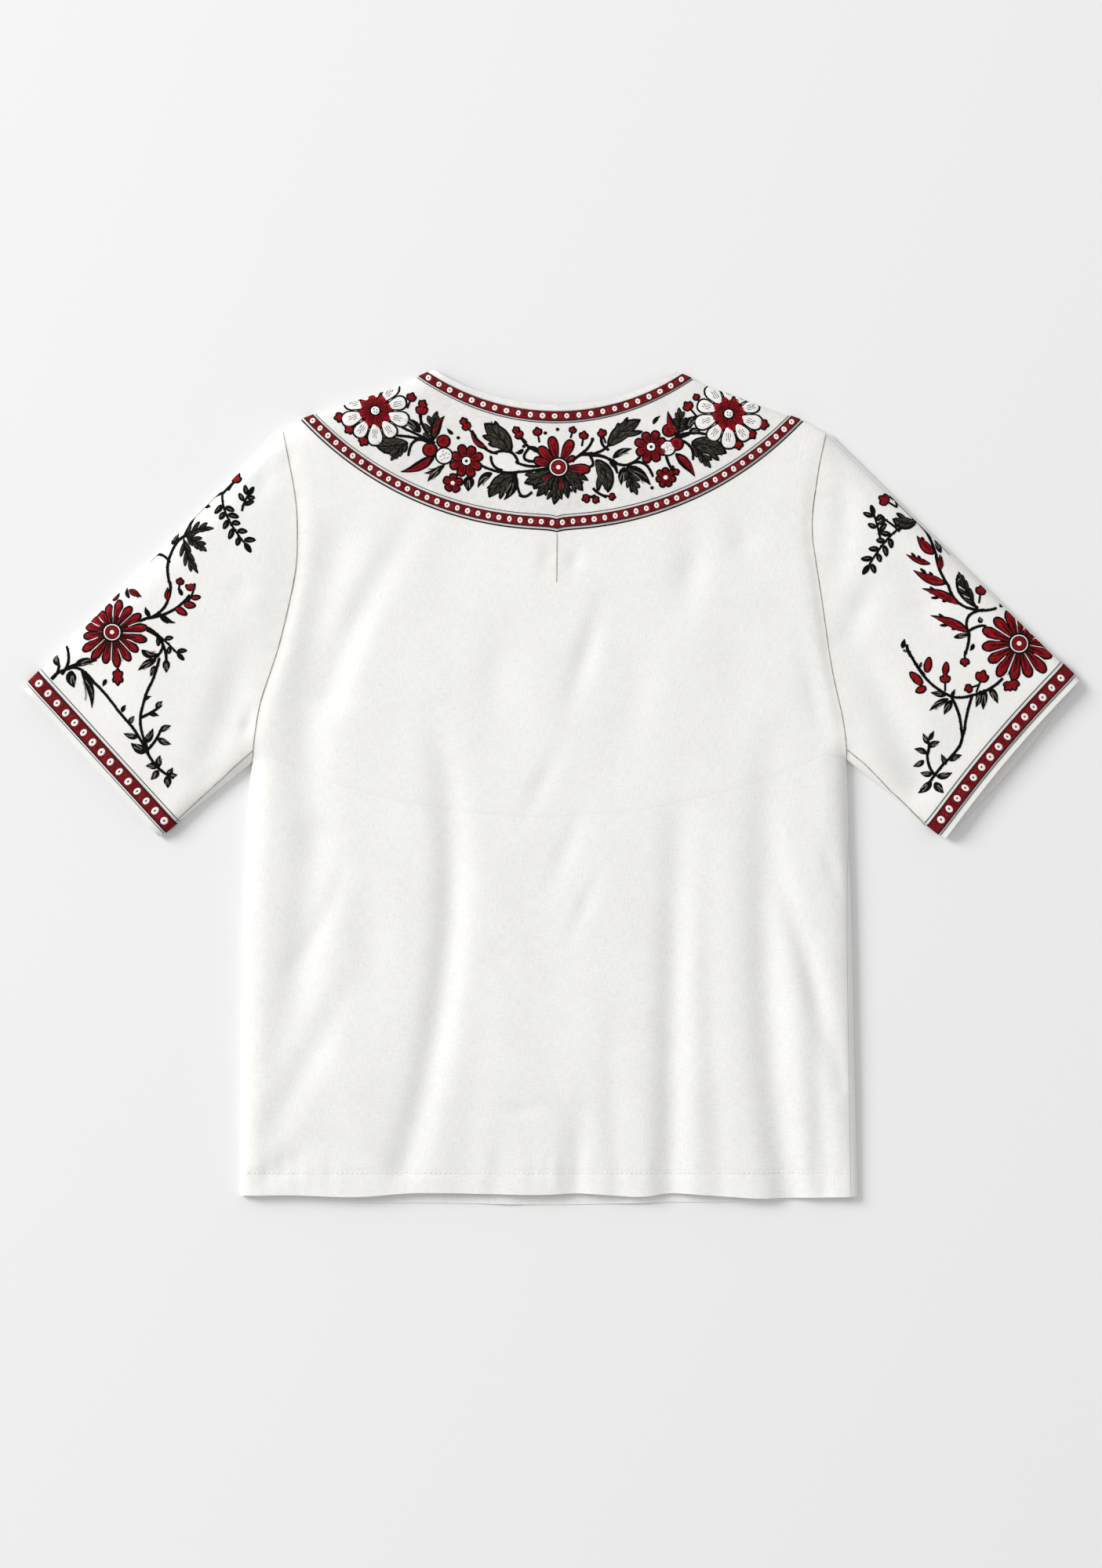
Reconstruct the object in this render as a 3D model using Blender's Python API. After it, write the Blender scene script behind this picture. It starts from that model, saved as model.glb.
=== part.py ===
"""V-neck blouse laid flat on its front, back upwards, built as the pieces that a maker cuts and sews.

Plan sizes are in millimetres: x across the body, y up towards the neck, z off the table.
Every piece is a thin closed wall. The upper layer stands on one height rule, the lower layer lies flat,
and the two meet in a soft fold along the shoulders, the sides and both edges of each sleeve.
"""
import math
from collections import namedtuple

import bmesh
import bpy
import numpy as np

METRES = 0.001

# The cloth and its seams
WALL = 1.2
SEAM_GAP = 0.3
RIBBON_WALL = 1.0
BINDING_WALL = 1.9
BINDING_RISE = 0.35
FOLD_RADIUS = 3.0
CROWN = 12.5
CROWN_WIDTH = 30.0
LOWEST_UPPER = 3.2
RELIEF_FADE = 14.0

# How far the upper layer sinks towards each open edge, and over what distance
OPEN_EDGE_DROP = {"hem": 4.0, "neck": 4.5, "cuff": 4.0}
OPEN_EDGE_REACH = {"hem": 110.0, "neck": 70.0, "cuff": 80.0}

# The armhole seams lie in a valley, steep on the body and long on the sleeve
ARMHOLE_VALLEY = 3.4
VALLEY_ON_BODY = 7.0
VALLEY_ON_SLEEVE = 24.0

# Widths of the trims, each from the edge that it follows
BINDING_WIDTH = 5.0
NECK_RIBBON = (5.6, 13.6)
YOKE_RIBBON = (2.8, 11.0)
CUFF_RIBBON = (6.4, 18.4)
CUFF_LIFT = 1.55
CUFF_LIFT_REACH = (20.0, 46.0)
VEE_POINT = (3.0, 150.0)
YOKE_NOTCH = 1.7
YOKE_NOTCH_WIDTH = 5.0

# The plan is moved by this much, so that the origin is under the middle of the blouse
PLAN_CENTRE = (-0.2, -0.45)

# Side of the body from the hem to the underarm. wrap is how far the front comes round onto the back
SideRow = namedtuple("SideRow", "left_x left_y right_x right_y wrap")
SIDES = [
    SideRow(-254.7, -333.9, 250.1, -334.8, 5.2),
    SideRow(-254.5, -280.0, 249.0, -280.0, 5.2),
    SideRow(-254.1, -221.6, 247.7, -221.6, 4.8),
    SideRow(-253.4, -170.0, 246.7, -170.0, 4.6),
    SideRow(-252.8, -125.6, 245.8, -125.6, 4.4),
    SideRow(-251.0, -80.0, 244.6, -80.0, 3.0),
    SideRow(-249.3, -40.0, 243.0, -40.0, 0.0),
    SideRow(-247.0, 0.0, 242.0, 0.0, 0.0),
    SideRow(-244.5, 20.0, 241.3, 22.0, 0.0),
]

# Armhole from the underarm to the shoulder tip
ArmholeRow = namedtuple("ArmholeRow", "left_x left_y right_x right_y")
ARMHOLES = [
    ArmholeRow(-244.5, 20.0, 241.3, 22.0),
    ArmholeRow(-238.1, 66.4, 238.1, 53.0),
    ArmholeRow(-222.7, 114.4, 228.5, 98.4),
    ArmholeRow(-209.3, 173.9, 219.5, 159.8),
    ArmholeRow(-207.4, 207.2, 212.5, 207.2),
    ArmholeRow(-208.9, 236.0, 214.6, 235.0),
    ArmholeRow(-215.0, 270.0, 218.8, 265.0),
    ArmholeRow(-219.5, 293.0, 224.6, 289.8),
]

# Shoulder from the armhole to the neck. The yoke starts at the second row
ShoulderRow = namedtuple("ShoulderRow", "left_x left_y right_x right_y")
SHOULDERS = [
    ShoulderRow(-219.5, 293.0, 224.6, 289.8),
    ShoulderRow(-204.8, 300.0, 206.1, 299.0),
    ShoulderRow(-178.6, 309.6, 175.4, 310.2),
    ShoulderRow(-149.1, 319.8, 149.1, 320.2),
    ShoulderRow(-124.8, 328.0, 128.0, 328.2),
    ShoulderRow(-96.0, 341.0, 101.8, 339.4),
]
NECK_LOW = (2.6, 312.4)
YOKE_LOW = (4.5, 209.4)

# Hem of the back, and of the front that shows below it
HemRow = namedtuple("HemRow", "x back_y front_y")
HEM = [
    HemRow(-254.7, -333.9, -333.9),
    HemRow(-212.0, -333.6, -336.0),
    HemRow(-159.0, -334.9, -340.4),
    HemRow(-106.0, -331.7, -340.3),
    HemRow(-18.0, -333.2, -341.8),
    HemRow(24.0, -332.2, -341.6),
    HemRow(70.0, -334.8, -340.6),
    HemRow(100.0, -332.2, -339.6),
    HemRow(145.0, -334.8, -339.9),
    HemRow(177.0, -336.2, -337.4),
    HemRow(250.1, -334.8, -334.8),
]

# Cuff corners of each sleeve, and how far each layer's cuff edge bows in at its middle
Cuff = namedtuple("Cuff", "top_x top_y low_x low_y bow_upper bow_lower")
CUFFS = {
    "left": Cuff(-431.6, 81.1, -320.6, -40.7, 0.0, 0.0),
    "right": Cuff(431.2, 87.3, 321.7, -42.2, 3.2, -5.0),
}

# Troughs in the upper layer: a curve through three points, half width, and depth at each point
Fold = namedtuple("Fold", "x1 y1 x2 y2 x3 y3 width depth1 depth2 depth3")
FOLDS = [
    Fold(-188, 194, -209, 73, -206, -55, 16, 1.6, 3.4, 3.0),
    Fold(-206, -55, -216, -150, -234, -228, 15, 3.0, 3.2, 1.0),
    Fold(-123, 214, -166, 137, -188, 73, 11, 0.6, 2.4, 2.0),
    Fold(-104, 60, -90, -110, -128, -311, 11, 0.5, 3.2, 2.2),
    Fold(34, 150, 22, 108, 9, 66, 8, 0.4, 1.6, 0.4),
    Fold(96, -23, 93, -126, 89, -334, 11, 0.5, 2.4, 3.4),
    Fold(169, 41, 166, -151, 184, -336, 13, 0.6, 3.4, 4.2),
    Fold(176, -55, 201, -138, 231, -241, 8, 0.5, 2.2, 1.2),
    Fold(-175, -164, -205, -222, -234, -279, 11, 0.5, 2.0, 1.0),
    Fold(16, -254, 14, -290, 12, -334, 10, 0.3, 1.5, 2.0),
    Fold(110, 201, 106, 176, 103, 150, 11, 0.5, 1.8, 0.5),
    Fold(-257, 130, -265, 79, -288, 12, 12, 0.8, 3.4, 2.2),
    Fold(-233, 262, -238, 250, -246, 236, 8, 0.6, 1.6, 0.5),
    Fold(234, 271, 235, 220, 230, 175, 8, 1.0, 2.2, 1.0),
    Fold(257, 162, 249, 146, 241, 130, 9, 0.6, 2.0, 1.0),
    Fold(243, 117, 266, 69, 291, 5, 12, 1.2, 3.6, 2.6),
    Fold(290, 172, 300, 148, 309, 124, 12, 0.4, 1.4, 0.4),
]

# How finely each piece is divided
EDGE_STEPS = (0.0, 0.95, 3.2, 8.0)
SIDE_STATIONS = np.linspace(0.0, 1.0, 13)
ARMHOLE_STEPS = 12
BACK_STEPS = 38
BACK_EDGE = 16.3
FRONT_SHOULDER_STEPS = 2
FRONT_VEE_STEPS = 4
WRAP_STEPS = (0.2, 1.0)
SLEEVE_STEPS = 7
ABOVE_CUFF_RIBBON = 8.0
SLEEVE_FROM_CUFF = (CUFF_RIBBON[1] + 0.4, 6.0, 0.0)
YOKE_FROM_SEAM = (0.45, 11.5, 32.0, 53.0, 74.0)
YOKE_FROM_NECK = (NECK_RIBBON[1] + 0.4, BINDING_WIDTH + SEAM_GAP)
YOKE_END_SHARE = 0.125

# Each finish: colour, roughness, metallic
CLOTH = ("blouse_cloth", (0.93, 0.925, 0.91, 1.0), 0.85, 0.0)
YOKE_CLOTH = ("yoke_cloth", (0.87, 0.86, 0.84, 1.0), 0.88, 0.0)
BINDING = ("neck_binding_cloth", (0.94, 0.935, 0.92, 1.0), 0.8, 0.0)
RIBBON = ("woven_ribbon", (0.33, 0.012, 0.018, 1.0), 0.6, 0.0)


def smooth_step(value):
    """Ease from 0 to 1, flat at both ends."""
    eased = np.clip(value, 0.0, 1.0)
    return eased * eased * (3.0 - 2.0 * eased)


def smooth_curve(points, steps=8):
    """A Catmull-Rom curve through the points."""
    rows = np.asarray(points, dtype=float)
    ends = np.vstack([2 * rows[0] - rows[1], rows, 2 * rows[-1] - rows[-2]])
    dense = []
    for before, start, end, after in zip(ends, ends[1:], ends[2:], ends[3:]):
        for t in np.arange(steps) / steps:
            dense.append(0.5 * (2 * start + (end - before) * t
                                + (2 * before - 5 * start + 4 * end - after) * t ** 2
                                + (3 * start - before - 3 * end + after) * t ** 3))
    dense.append(rows[-1])
    return np.array(dense)


def run_lengths(curve):
    """Distance along a curve to each of its points."""
    steps = np.linalg.norm(np.diff(curve, axis=0), axis=1)
    return np.concatenate([[0.0], np.cumsum(steps)])


def at_lengths(curve, lengths):
    """Points at the given distances along a curve."""
    run = run_lengths(curve)
    return np.column_stack([np.interp(lengths, run, curve[:, axis]) for axis in (0, 1)])


def arc_through(start, middle, end):
    """The circle through three points: its centre and radius."""
    (ax, ay), (bx, by), (cx, cy) = start, middle, end
    twice = 2.0 * (ax * (by - cy) + bx * (cy - ay) + cx * (ay - by))
    squares = [x * x + y * y for x, y in (start, middle, end)]
    x = (squares[0] * (by - cy) + squares[1] * (cy - ay) + squares[2] * (ay - by)) / twice
    y = (squares[0] * (cx - bx) + squares[1] * (ax - cx) + squares[2] * (bx - ax)) / twice
    return np.array([x, y]), math.hypot(ax - x, ay - y)


def arc_points(start, middle, end, fractions):
    """Points along the lower arc, with the middle point halfway."""
    centre, radius = arc_through(start, middle, end)
    angles = [math.atan2(x - centre[0], centre[1] - y) for x, y in (start, middle, end)]
    angle = np.interp(fractions, [0.0, 0.5, 1.0], angles)
    return centre + radius * np.column_stack([np.sin(angle), -np.cos(angle)])


def side_points(rows, side):
    """The points of one side of a table."""
    if side == "left":
        return [(row.left_x, row.left_y) for row in rows]
    return [(row.right_x, row.right_y) for row in rows]


def armhole_stations(curve):
    """Distances along an armhole, close together where the cloth rolls over at its two ends."""
    whole = run_lengths(curve)[-1]
    near = np.array(EDGE_STEPS)
    middle = np.linspace(EDGE_STEPS[-1], whole - EDGE_STEPS[-1], ARMHOLE_STEPS + 1)[1:-1]
    return np.concatenate([near, middle, whole - near[::-1]])


SIDE_CURVES = {side: smooth_curve(side_points(SIDES, side)) for side in ("left", "right")}
ARMHOLE_CURVES = {side: smooth_curve(side_points(ARMHOLES, side)) for side in ("left", "right")}
SHOULDER_CURVES = {side: smooth_curve(side_points(SHOULDERS, side)) for side in ("left", "right")}
NECK_ENDS = {side: tuple(SHOULDER_CURVES[side][-1]) for side in ("left", "right")}
YOKE_ENDS = {side: side_points(SHOULDERS, side)[1] for side in ("left", "right")}
NECK_CENTRE, NECK_RADIUS = arc_through(NECK_ENDS["left"], NECK_LOW, NECK_ENDS["right"])


def cuff_corner(side, which):
    """The upper or lower corner of a cuff."""
    cuff = CUFFS[side]
    return np.array([cuff.top_x, cuff.top_y] if which == "top" else [cuff.low_x, cuff.low_y])


def cuff_inward(side):
    """Unit vector from a cuff towards the body."""
    along = cuff_corner(side, "low") - cuff_corner(side, "top")
    across = np.array([-along[1], along[0]]) / np.linalg.norm(along)
    return across * np.sign(across[0]) * -np.sign(CUFFS[side].top_x)


def folded_edges():
    """Every edge where the upper and lower layers are one fold, as segments."""
    starts, ends = [], []
    for side in ("left", "right"):
        lower = np.vstack([SIDE_CURVES[side], cuff_corner(side, "low")])
        upper = np.vstack([cuff_corner(side, "top"), SHOULDER_CURVES[side]])
        for chain in (lower, upper):
            starts.append(chain[:-1])
            ends.append(chain[1:])
    return np.vstack(starts), np.vstack(ends)


EDGE_STARTS, EDGE_ENDS = folded_edges()


def nearest_on(starts, ends, plan):
    """Distance to the nearest of some segments, its index and the fraction along it."""
    along = ends - starts
    away = plan[:, None, :] - starts[None]
    fraction = np.clip((away * along).sum(2) / (along ** 2).sum(1), 0.0, 1.0)
    nearest = starts[None] + fraction[..., None] * along[None]
    distance = np.linalg.norm(plan[:, None, :] - nearest, axis=2)
    index = distance.argmin(1)
    rows = np.arange(len(plan))
    return distance[rows, index], index, fraction[rows, index], nearest[rows, index]


def to_folded_edge(plan):
    """Distance in from the nearest folded edge, and the way out to it."""
    distance, index, _, nearest = nearest_on(EDGE_STARTS, EDGE_ENDS, plan)
    along = EDGE_ENDS[index] - EDGE_STARTS[index]
    square = np.column_stack([-along[:, 1], along[:, 0]])
    square /= np.linalg.norm(square, axis=1)[:, None]
    side = -np.sign(nearest[:, :1])
    away = (nearest - plan) / np.maximum(distance, 1e-9)[:, None]
    return distance, np.where(on_fold(distance)[:, None], square * side, away)


def on_fold(distance):
    """Whether a point is on the fold line itself."""
    return distance < 0.02


def fold_depth(plan):
    """Troughs of the upper layer, each with a low ridge beside it."""
    total = np.zeros(len(plan))
    pieces = 8
    t = np.linspace(0.0, 1.0, pieces + 1)[:, None]
    for fold in FOLDS:
        start, middle, end = (np.array(p) for p in ((fold.x1, fold.y1), (fold.x2, fold.y2), (fold.x3, fold.y3)))
        line = start * (1 - t) * (1 - 2 * t) + middle * 4 * t * (1 - t) + end * t * (2 * t - 1)
        distance, index, fraction, _ = nearest_on(line[:-1], line[1:], plan)
        depth = np.interp((index + fraction) / pieces, [0.0, 0.5, 1.0], [fold.depth1, fold.depth2, fold.depth3])
        q = (distance / fold.width) ** 2
        total -= depth * (1.0 - 0.75 * q) * np.exp(-q)
    return total


def armhole_valley(plan):
    """The armhole seams' valleys."""
    total = np.zeros(len(plan))
    for side, sign in (("left", 1.0), ("right", -1.0)):
        curve = ARMHOLE_CURVES[side]
        share = np.clip((plan[:, 1] - curve[0, 1]) / (curve[-1, 1] - curve[0, 1]), 0.0, 1.0)
        weight = np.sin(np.pi * share) ** 0.6 * (1.0 - 0.6 * share)
        inside = (plan[:, 0] - np.interp(plan[:, 1], curve[:, 1], curve[:, 0])) * sign
        reach = np.where(inside > 0.0, VALLEY_ON_BODY, VALLEY_ON_SLEEVE)
        total -= ARMHOLE_VALLEY * weight * np.exp(-(inside / reach) ** 2)
    return total


def to_open_edges(plan):
    """Distance from the hem, the neck and the nearer cuff."""
    hem = plan[:, 1] - HEM[0].back_y
    neck = np.linalg.norm(plan - NECK_CENTRE, axis=1) - NECK_RADIUS
    tops = np.array([cuff_corner(side, "top") for side in CUFFS])
    lows = np.array([cuff_corner(side, "low") for side in CUFFS])
    return {"hem": hem, "neck": neck, "cuff": nearest_on(tops, lows, plan)[0]}


def cuff_lift(plan):
    """The sleeve stands on its ribbon near the cuff."""
    start, end = CUFF_LIFT_REACH
    return CUFF_LIFT * (1.0 - smooth_step((to_open_edges(plan)["cuff"] - start) / (end - start)))


def crown_height(plan):
    """Height of the upper layer away from its folded edges."""
    height = np.full(len(plan), CROWN)
    for edge, distance in to_open_edges(plan).items():
        height -= OPEN_EDGE_DROP[edge] * (1.0 - smooth_step(distance / OPEN_EDGE_REACH[edge]))
    return height


def relief(plan):
    """Everything on the upper layer but its rise from the folded edges."""
    distance, _ = to_folded_edge(plan)
    return smooth_step(distance / RELIEF_FADE) * (fold_depth(plan) + armhole_valley(plan))


def upper_surface(plan):
    """Outer height and outward normal of the upper layer."""
    distance, outward = to_folded_edge(plan)
    crown = crown_height(plan) - FOLD_RADIUS
    width = CROWN_WIDTH * crown / (CROWN - FOLD_RADIUS)
    q = np.clip(1.0 - distance / width, 0.0, 1.0)
    rise = np.sqrt(np.maximum(1.0 - q * q, 1e-12))
    slope = crown * q / (width * rise)
    step = 0.5
    grade = []
    for axis in (0, 1):
        shift = np.zeros(2)
        shift[axis] = step
        grade.append((relief(plan + shift) - relief(plan - shift)) / (2 * step))
    height = np.maximum(FOLD_RADIUS + crown * rise + relief(plan), LOWEST_UPPER) + cuff_lift(plan)
    normal = np.column_stack([outward * slope[:, None] - np.column_stack(grade), np.ones(len(plan))])
    height = np.where(on_fold(distance), FOLD_RADIUS + cuff_lift(plan), height)
    return height, normal / np.linalg.norm(normal, axis=1)[:, None]


def lower_surface(plan):
    """Outer height and outward normal of the lower layer, which lies on the table."""
    distance, outward = to_folded_edge(plan)
    in_fold = np.clip(FOLD_RADIUS - distance, 0.0, FOLD_RADIUS) / FOLD_RADIUS
    depth = np.sqrt(np.maximum(1.0 - in_fold ** 2, 1e-12))
    height = FOLD_RADIUS * (1.0 - depth) + cuff_lift(plan)
    height = np.where(on_fold(distance), FOLD_RADIUS + cuff_lift(plan), height)
    normal = np.column_stack([outward * (in_fold / depth)[:, None], -np.ones(len(plan))])
    return height, normal / np.linalg.norm(normal, axis=1)[:, None]


def lay(plan, layer, rise=0.0, wall=WALL):
    """Outer and inner points of a wall over plan points, its outer side moved out by rise."""
    flat = plan.reshape(-1, 2)
    height, normal = upper_surface(flat) if layer == "upper" else lower_surface(flat)
    surface = np.column_stack([flat, height])
    outer = surface + normal * rise
    return outer.reshape(*plan.shape[:-1], 3), (outer - normal * wall).reshape(*plan.shape[:-1], 3)


def coons(left, right, bottom, top, across, up):
    """Plan grid between four borders: rows run up, columns run across."""
    u = np.asarray(across)[None, :, None]
    v = np.asarray(up)[:, None, None]
    sides = (1 - u) * left[:, None] + u * right[:, None]
    ends = (1 - v) * bottom[None] + v * top[None]
    corners = (1 - v) * ((1 - u) * bottom[0] + u * bottom[-1]) + v * ((1 - u) * top[0] + u * top[-1])
    return sides + ends - corners


def share_of_run(points):
    """Each point's share of the way along a row of points."""
    run = run_lengths(points)
    return run / run[-1]


def body_border(side, inset=False):
    """Rows of one side of the body, from the hem to the shoulder tip."""
    curve = SIDE_CURVES[side]
    rows = at_lengths(curve, SIDE_STATIONS * run_lengths(curve)[-1])
    if inset:
        rows = rows - np.column_stack([side_wrap() + SEAM_GAP * (side_wrap() > 0.0), np.zeros(len(rows))])
    arm = at_lengths(ARMHOLE_CURVES[side], armhole_stations(ARMHOLE_CURVES[side]))
    return np.vstack([rows, arm[1:]])


def side_wrap():
    """How far the front is wrapped onto the back at each side row."""
    heights = at_lengths(SIDE_CURVES["right"], SIDE_STATIONS * run_lengths(SIDE_CURVES["right"])[-1])[:, 1]
    return np.interp(heights, [row.right_y for row in SIDES], [row.wrap for row in SIDES])


def hem_points(xs, layer):
    """The hem of one layer."""
    curve = smooth_curve([(row.x, row.back_y if layer == "upper" else row.front_y) for row in HEM])
    return np.column_stack([xs, np.interp(xs, curve[:, 0], curve[:, 1])])


def yoke_seam(fractions):
    """The yoke's lower edge, with its small notch at the middle."""
    points = arc_points(YOKE_ENDS["left"], YOKE_LOW, YOKE_ENDS["right"], fractions)
    away = np.abs(points[:, 0] - YOKE_LOW[0])
    points[:, 1] -= YOKE_NOTCH * np.exp(-away / YOKE_NOTCH_WIDTH)
    return points


def quads(rows, columns, closed=False):
    """Quads of a grid whose columns may close into a ring."""
    last = columns if closed else columns - 1
    faces = []
    for i in range(rows - 1):
        for j in range(last):
            k = (j + 1) % columns
            faces.append((i * columns + j, i * columns + k, (i + 1) * columns + k, (i + 1) * columns + j))
    return faces


def make_material(finish):
    """A Principled material."""
    name, colour, roughness, metallic = finish
    material = bpy.data.materials.get(name) or bpy.data.materials.new(name)
    material.use_nodes = True
    shader = material.node_tree.nodes["Principled BSDF"]
    shader.inputs["Base Color"].default_value = colour
    shader.inputs["Roughness"].default_value = roughness
    shader.inputs["Metallic"].default_value = metallic
    return material


def make_wall(name, outer, inner, faces, finish):
    """One closed wall: its outer and inner faces, joined round every free border."""
    outer = outer.reshape(-1, 3)
    inner = inner.reshape(-1, 3)
    count = len(outer)
    shift = np.array([PLAN_CENTRE[0], PLAN_CENTRE[1], 0.0])
    points = (np.vstack([outer, inner]) - shift) * METRES
    mesh = bmesh.new()
    verts = [mesh.verts.new(point) for point in points]
    directed = set()
    for face in faces:
        mesh.faces.new([verts[i] for i in face])
        mesh.faces.new([verts[i + count] for i in reversed(face)])
        directed.update(zip(face, face[1:] + face[:1]))
    for start, end in directed:
        if (end, start) not in directed:
            mesh.faces.new([verts[end], verts[start], verts[start + count], verts[end + count]])
    bmesh.ops.recalc_face_normals(mesh, faces=mesh.faces)
    bmesh.ops.triangulate(mesh, faces=mesh.faces)
    data = bpy.data.meshes.new(name)
    mesh.to_mesh(data)
    mesh.free()
    data.shade_smooth()
    data.set_sharp_from_angle(angle=math.radians(50))
    part = bpy.data.objects.new(name, data)
    part.data.materials.append(make_material(finish))
    bpy.context.collection.objects.link(part)
    return part


def part_at_folds(outer, inner, plan, layer):
    """Part the two layers by half a seam gap each along the folded edges that they share."""
    distance, _ = to_folded_edge(plan.reshape(-1, 2))
    on_edge = on_fold(distance).reshape(plan.shape[:-1])[..., None]
    shift = on_edge * np.array([0.0, 0.0, SEAM_GAP / 2 if layer == "upper" else -SEAM_GAP / 2])
    return outer + shift, inner + shift


def back_panel():
    """The back below the yoke, with the armholes, the side edges and the hem."""
    left, right = body_border("left"), body_border("right", inset=True)
    tip_run = np.array(EDGE_STEPS)
    left_bit = at_lengths(SHOULDER_CURVES["left"], tip_run)
    right_bit = at_lengths(SHOULDER_CURVES["right"], tip_run)
    arc = yoke_seam(np.linspace(0.0, 1.0, BACK_STEPS + 1))
    top = np.vstack([left_bit, arc, right_bit[::-1]])
    inner_xs = np.linspace(left[0, 0] + BACK_EDGE, right[0, 0] - BACK_EDGE, BACK_STEPS + 1)
    xs = np.concatenate([left[0, 0] + tip_run, inner_xs, right[0, 0] - tip_run[::-1]])
    bottom = hem_points(xs, "upper")
    bottom[0], bottom[-1] = left[0], right[0]
    plan = coons(left, right, bottom, top, (xs - xs[0]) / (xs[-1] - xs[0]), share_of_run(left))
    outer, inner = part_at_folds(*lay(plan, "upper"), plan, "upper")
    return make_wall("back_panel", outer, inner, quads(*plan.shape[:2]), CLOTH)


def vee_leg(side, offset):
    """From the shoulder seam to the point of the neckline, offset into the cloth."""
    neck, vee = np.array(NECK_ENDS[side]), np.array(VEE_POINT)
    half_angle = math.atan2(abs(neck[0] - vee[0]), neck[1] - vee[1])
    whole = run_lengths(SHOULDER_CURVES[side])[-1]
    start = at_lengths(SHOULDER_CURVES[side], [whole - offset])[0]
    end = vee - [0.0, offset / math.sin(half_angle)]
    t = np.linspace(0.0, 1.0, FRONT_VEE_STEPS + 1)[:, None]
    return start * (1 - t) + end * t


def front_panel():
    """The front, which lies on the table and comes round the right side onto the back."""
    left, right = body_border("left"), body_border("right")
    tip_run = np.array(EDGE_STEPS)
    offset = BINDING_WIDTH + SEAM_GAP
    halves = {}
    for side in ("left", "right"):
        whole = run_lengths(SHOULDER_CURVES[side])[-1]
        along = np.linspace(EDGE_STEPS[-1], whole - offset, FRONT_SHOULDER_STEPS + 2)[1:-1]
        shoulder = at_lengths(SHOULDER_CURVES[side], np.concatenate([tip_run, along]))
        halves[side] = np.vstack([shoulder, vee_leg(side, offset)])
    top = np.vstack([halves["left"], halves["right"][-2::-1]])
    across = (top[:, 0] - top[0, 0]) / (top[-1, 0] - top[0, 0])
    xs = left[0, 0] + across * (right[0, 0] - left[0, 0])
    bottom = hem_points(xs, "lower")
    bottom[0], bottom[-1] = left[0], right[0]
    plan = coons(left, right, bottom, top, across, share_of_run(left))
    outer, inner = part_at_folds(*lay(plan, "lower"), plan, "lower")
    rows, columns = plan.shape[:2]
    faces = quads(rows, columns)
    wrap = side_wrap()
    wrapped = np.flatnonzero(wrap > 0.5)
    strip = np.stack([right[wrapped] - np.column_stack([wrap[wrapped] * share, 0.0 * wrapped])
                      for share in WRAP_STEPS], axis=1)
    strip_outer, strip_inner = lay(strip, "upper")
    first = rows * columns
    for i in wrapped:
        here, above = first + 2 * i, first + 2 * (i + 1)
        edge, edge_above = (i + 1) * columns - 1, (i + 2) * columns - 1
        if i + 1 in wrapped:
            faces.append((edge, here, above, edge_above))
            faces.append((here, here + 1, above + 1, above))
        else:
            faces.append((edge, here, edge_above))
            faces.append((here, here + 1, edge_above))
    outer = np.vstack([outer.reshape(-1, 3), strip_outer.reshape(-1, 3)])
    inner = np.vstack([inner.reshape(-1, 3), strip_inner.reshape(-1, 3)])
    return make_wall("front_panel", outer, inner, faces, CLOTH)


def yoke_columns():
    """Shares of the yoke's arc for its columns, close together at the shoulders."""
    arc_length = run_lengths(yoke_seam(np.linspace(0.0, 1.0, 41)))[-1]
    near = np.array(EDGE_STEPS[1:-1]) / arc_length
    return np.concatenate([[0.0], near, np.linspace(0.0, 1.0, BACK_STEPS + 1)[1:-1], 1.0 - near[::-1], [1.0]])


def yoke_plan(from_seam=(), from_neck=()):
    """Rows of the yoke at distances from its lower seam and from the neck edge."""
    columns = yoke_columns()
    low = yoke_seam(columns)
    high = arc_points(NECK_ENDS["left"], NECK_LOW, NECK_ENDS["right"], columns)
    whole = np.linalg.norm(high - low, axis=1)[:, None]
    shoulders = {}
    for side in ("left", "right"):
        start = run_lengths(smooth_curve(side_points(SHOULDERS[:2], side)))[-1]
        shoulders[side] = (start, run_lengths(SHOULDER_CURVES[side])[-1])
    rows = []
    shares = [distance / whole for distance in from_seam] + [1.0 - distance / whole for distance in from_neck]
    for share in shares:
        row = low + (high - low) * share
        for side, end in (("left", 0), ("right", -1)):
            start, stop = shoulders[side]
            on_shoulder = at_lengths(SHOULDER_CURVES[side], [start + (stop - start) * share[end, 0]])[0]
            near_end = 1.0 - smooth_step(np.abs(columns - columns[end]) / YOKE_END_SHARE)
            row = row + (on_shoulder - row[end]) * near_end[:, None]
        rows.append(row)
    return np.array(rows)


def yoke():
    """The shaped panel from the shoulders down to its curved seam."""
    plan = yoke_plan(YOKE_FROM_SEAM, YOKE_FROM_NECK)
    outer, inner = part_at_folds(*lay(plan, "upper"), plan, "upper")
    return make_wall("back_yoke", outer, inner, quads(*plan.shape[:2]), YOKE_CLOTH)


def yoke_band(name, plan, rise, wall, finish):
    """A strip along the yoke, raised off its cloth or in line with it."""
    outer, inner = part_at_folds(*lay(plan, "upper", rise, wall), plan, "upper")
    return make_wall(name, outer, inner, quads(*plan.shape[:2]), finish)


def front_binding():
    """The binding down both legs of the v neckline."""
    rows = [np.vstack([vee_leg("left", offset), vee_leg("right", offset)[-2::-1]])
            for offset in (BINDING_WIDTH, BINDING_WIDTH / 2, 0.0)]
    plan = np.array(rows)
    outer, inner = part_at_folds(*lay(plan, "lower", 0.0, BINDING_WALL), plan, "lower")
    return make_wall("neck_binding_front", outer, inner, quads(*plan.shape[:2]), BINDING)


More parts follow.
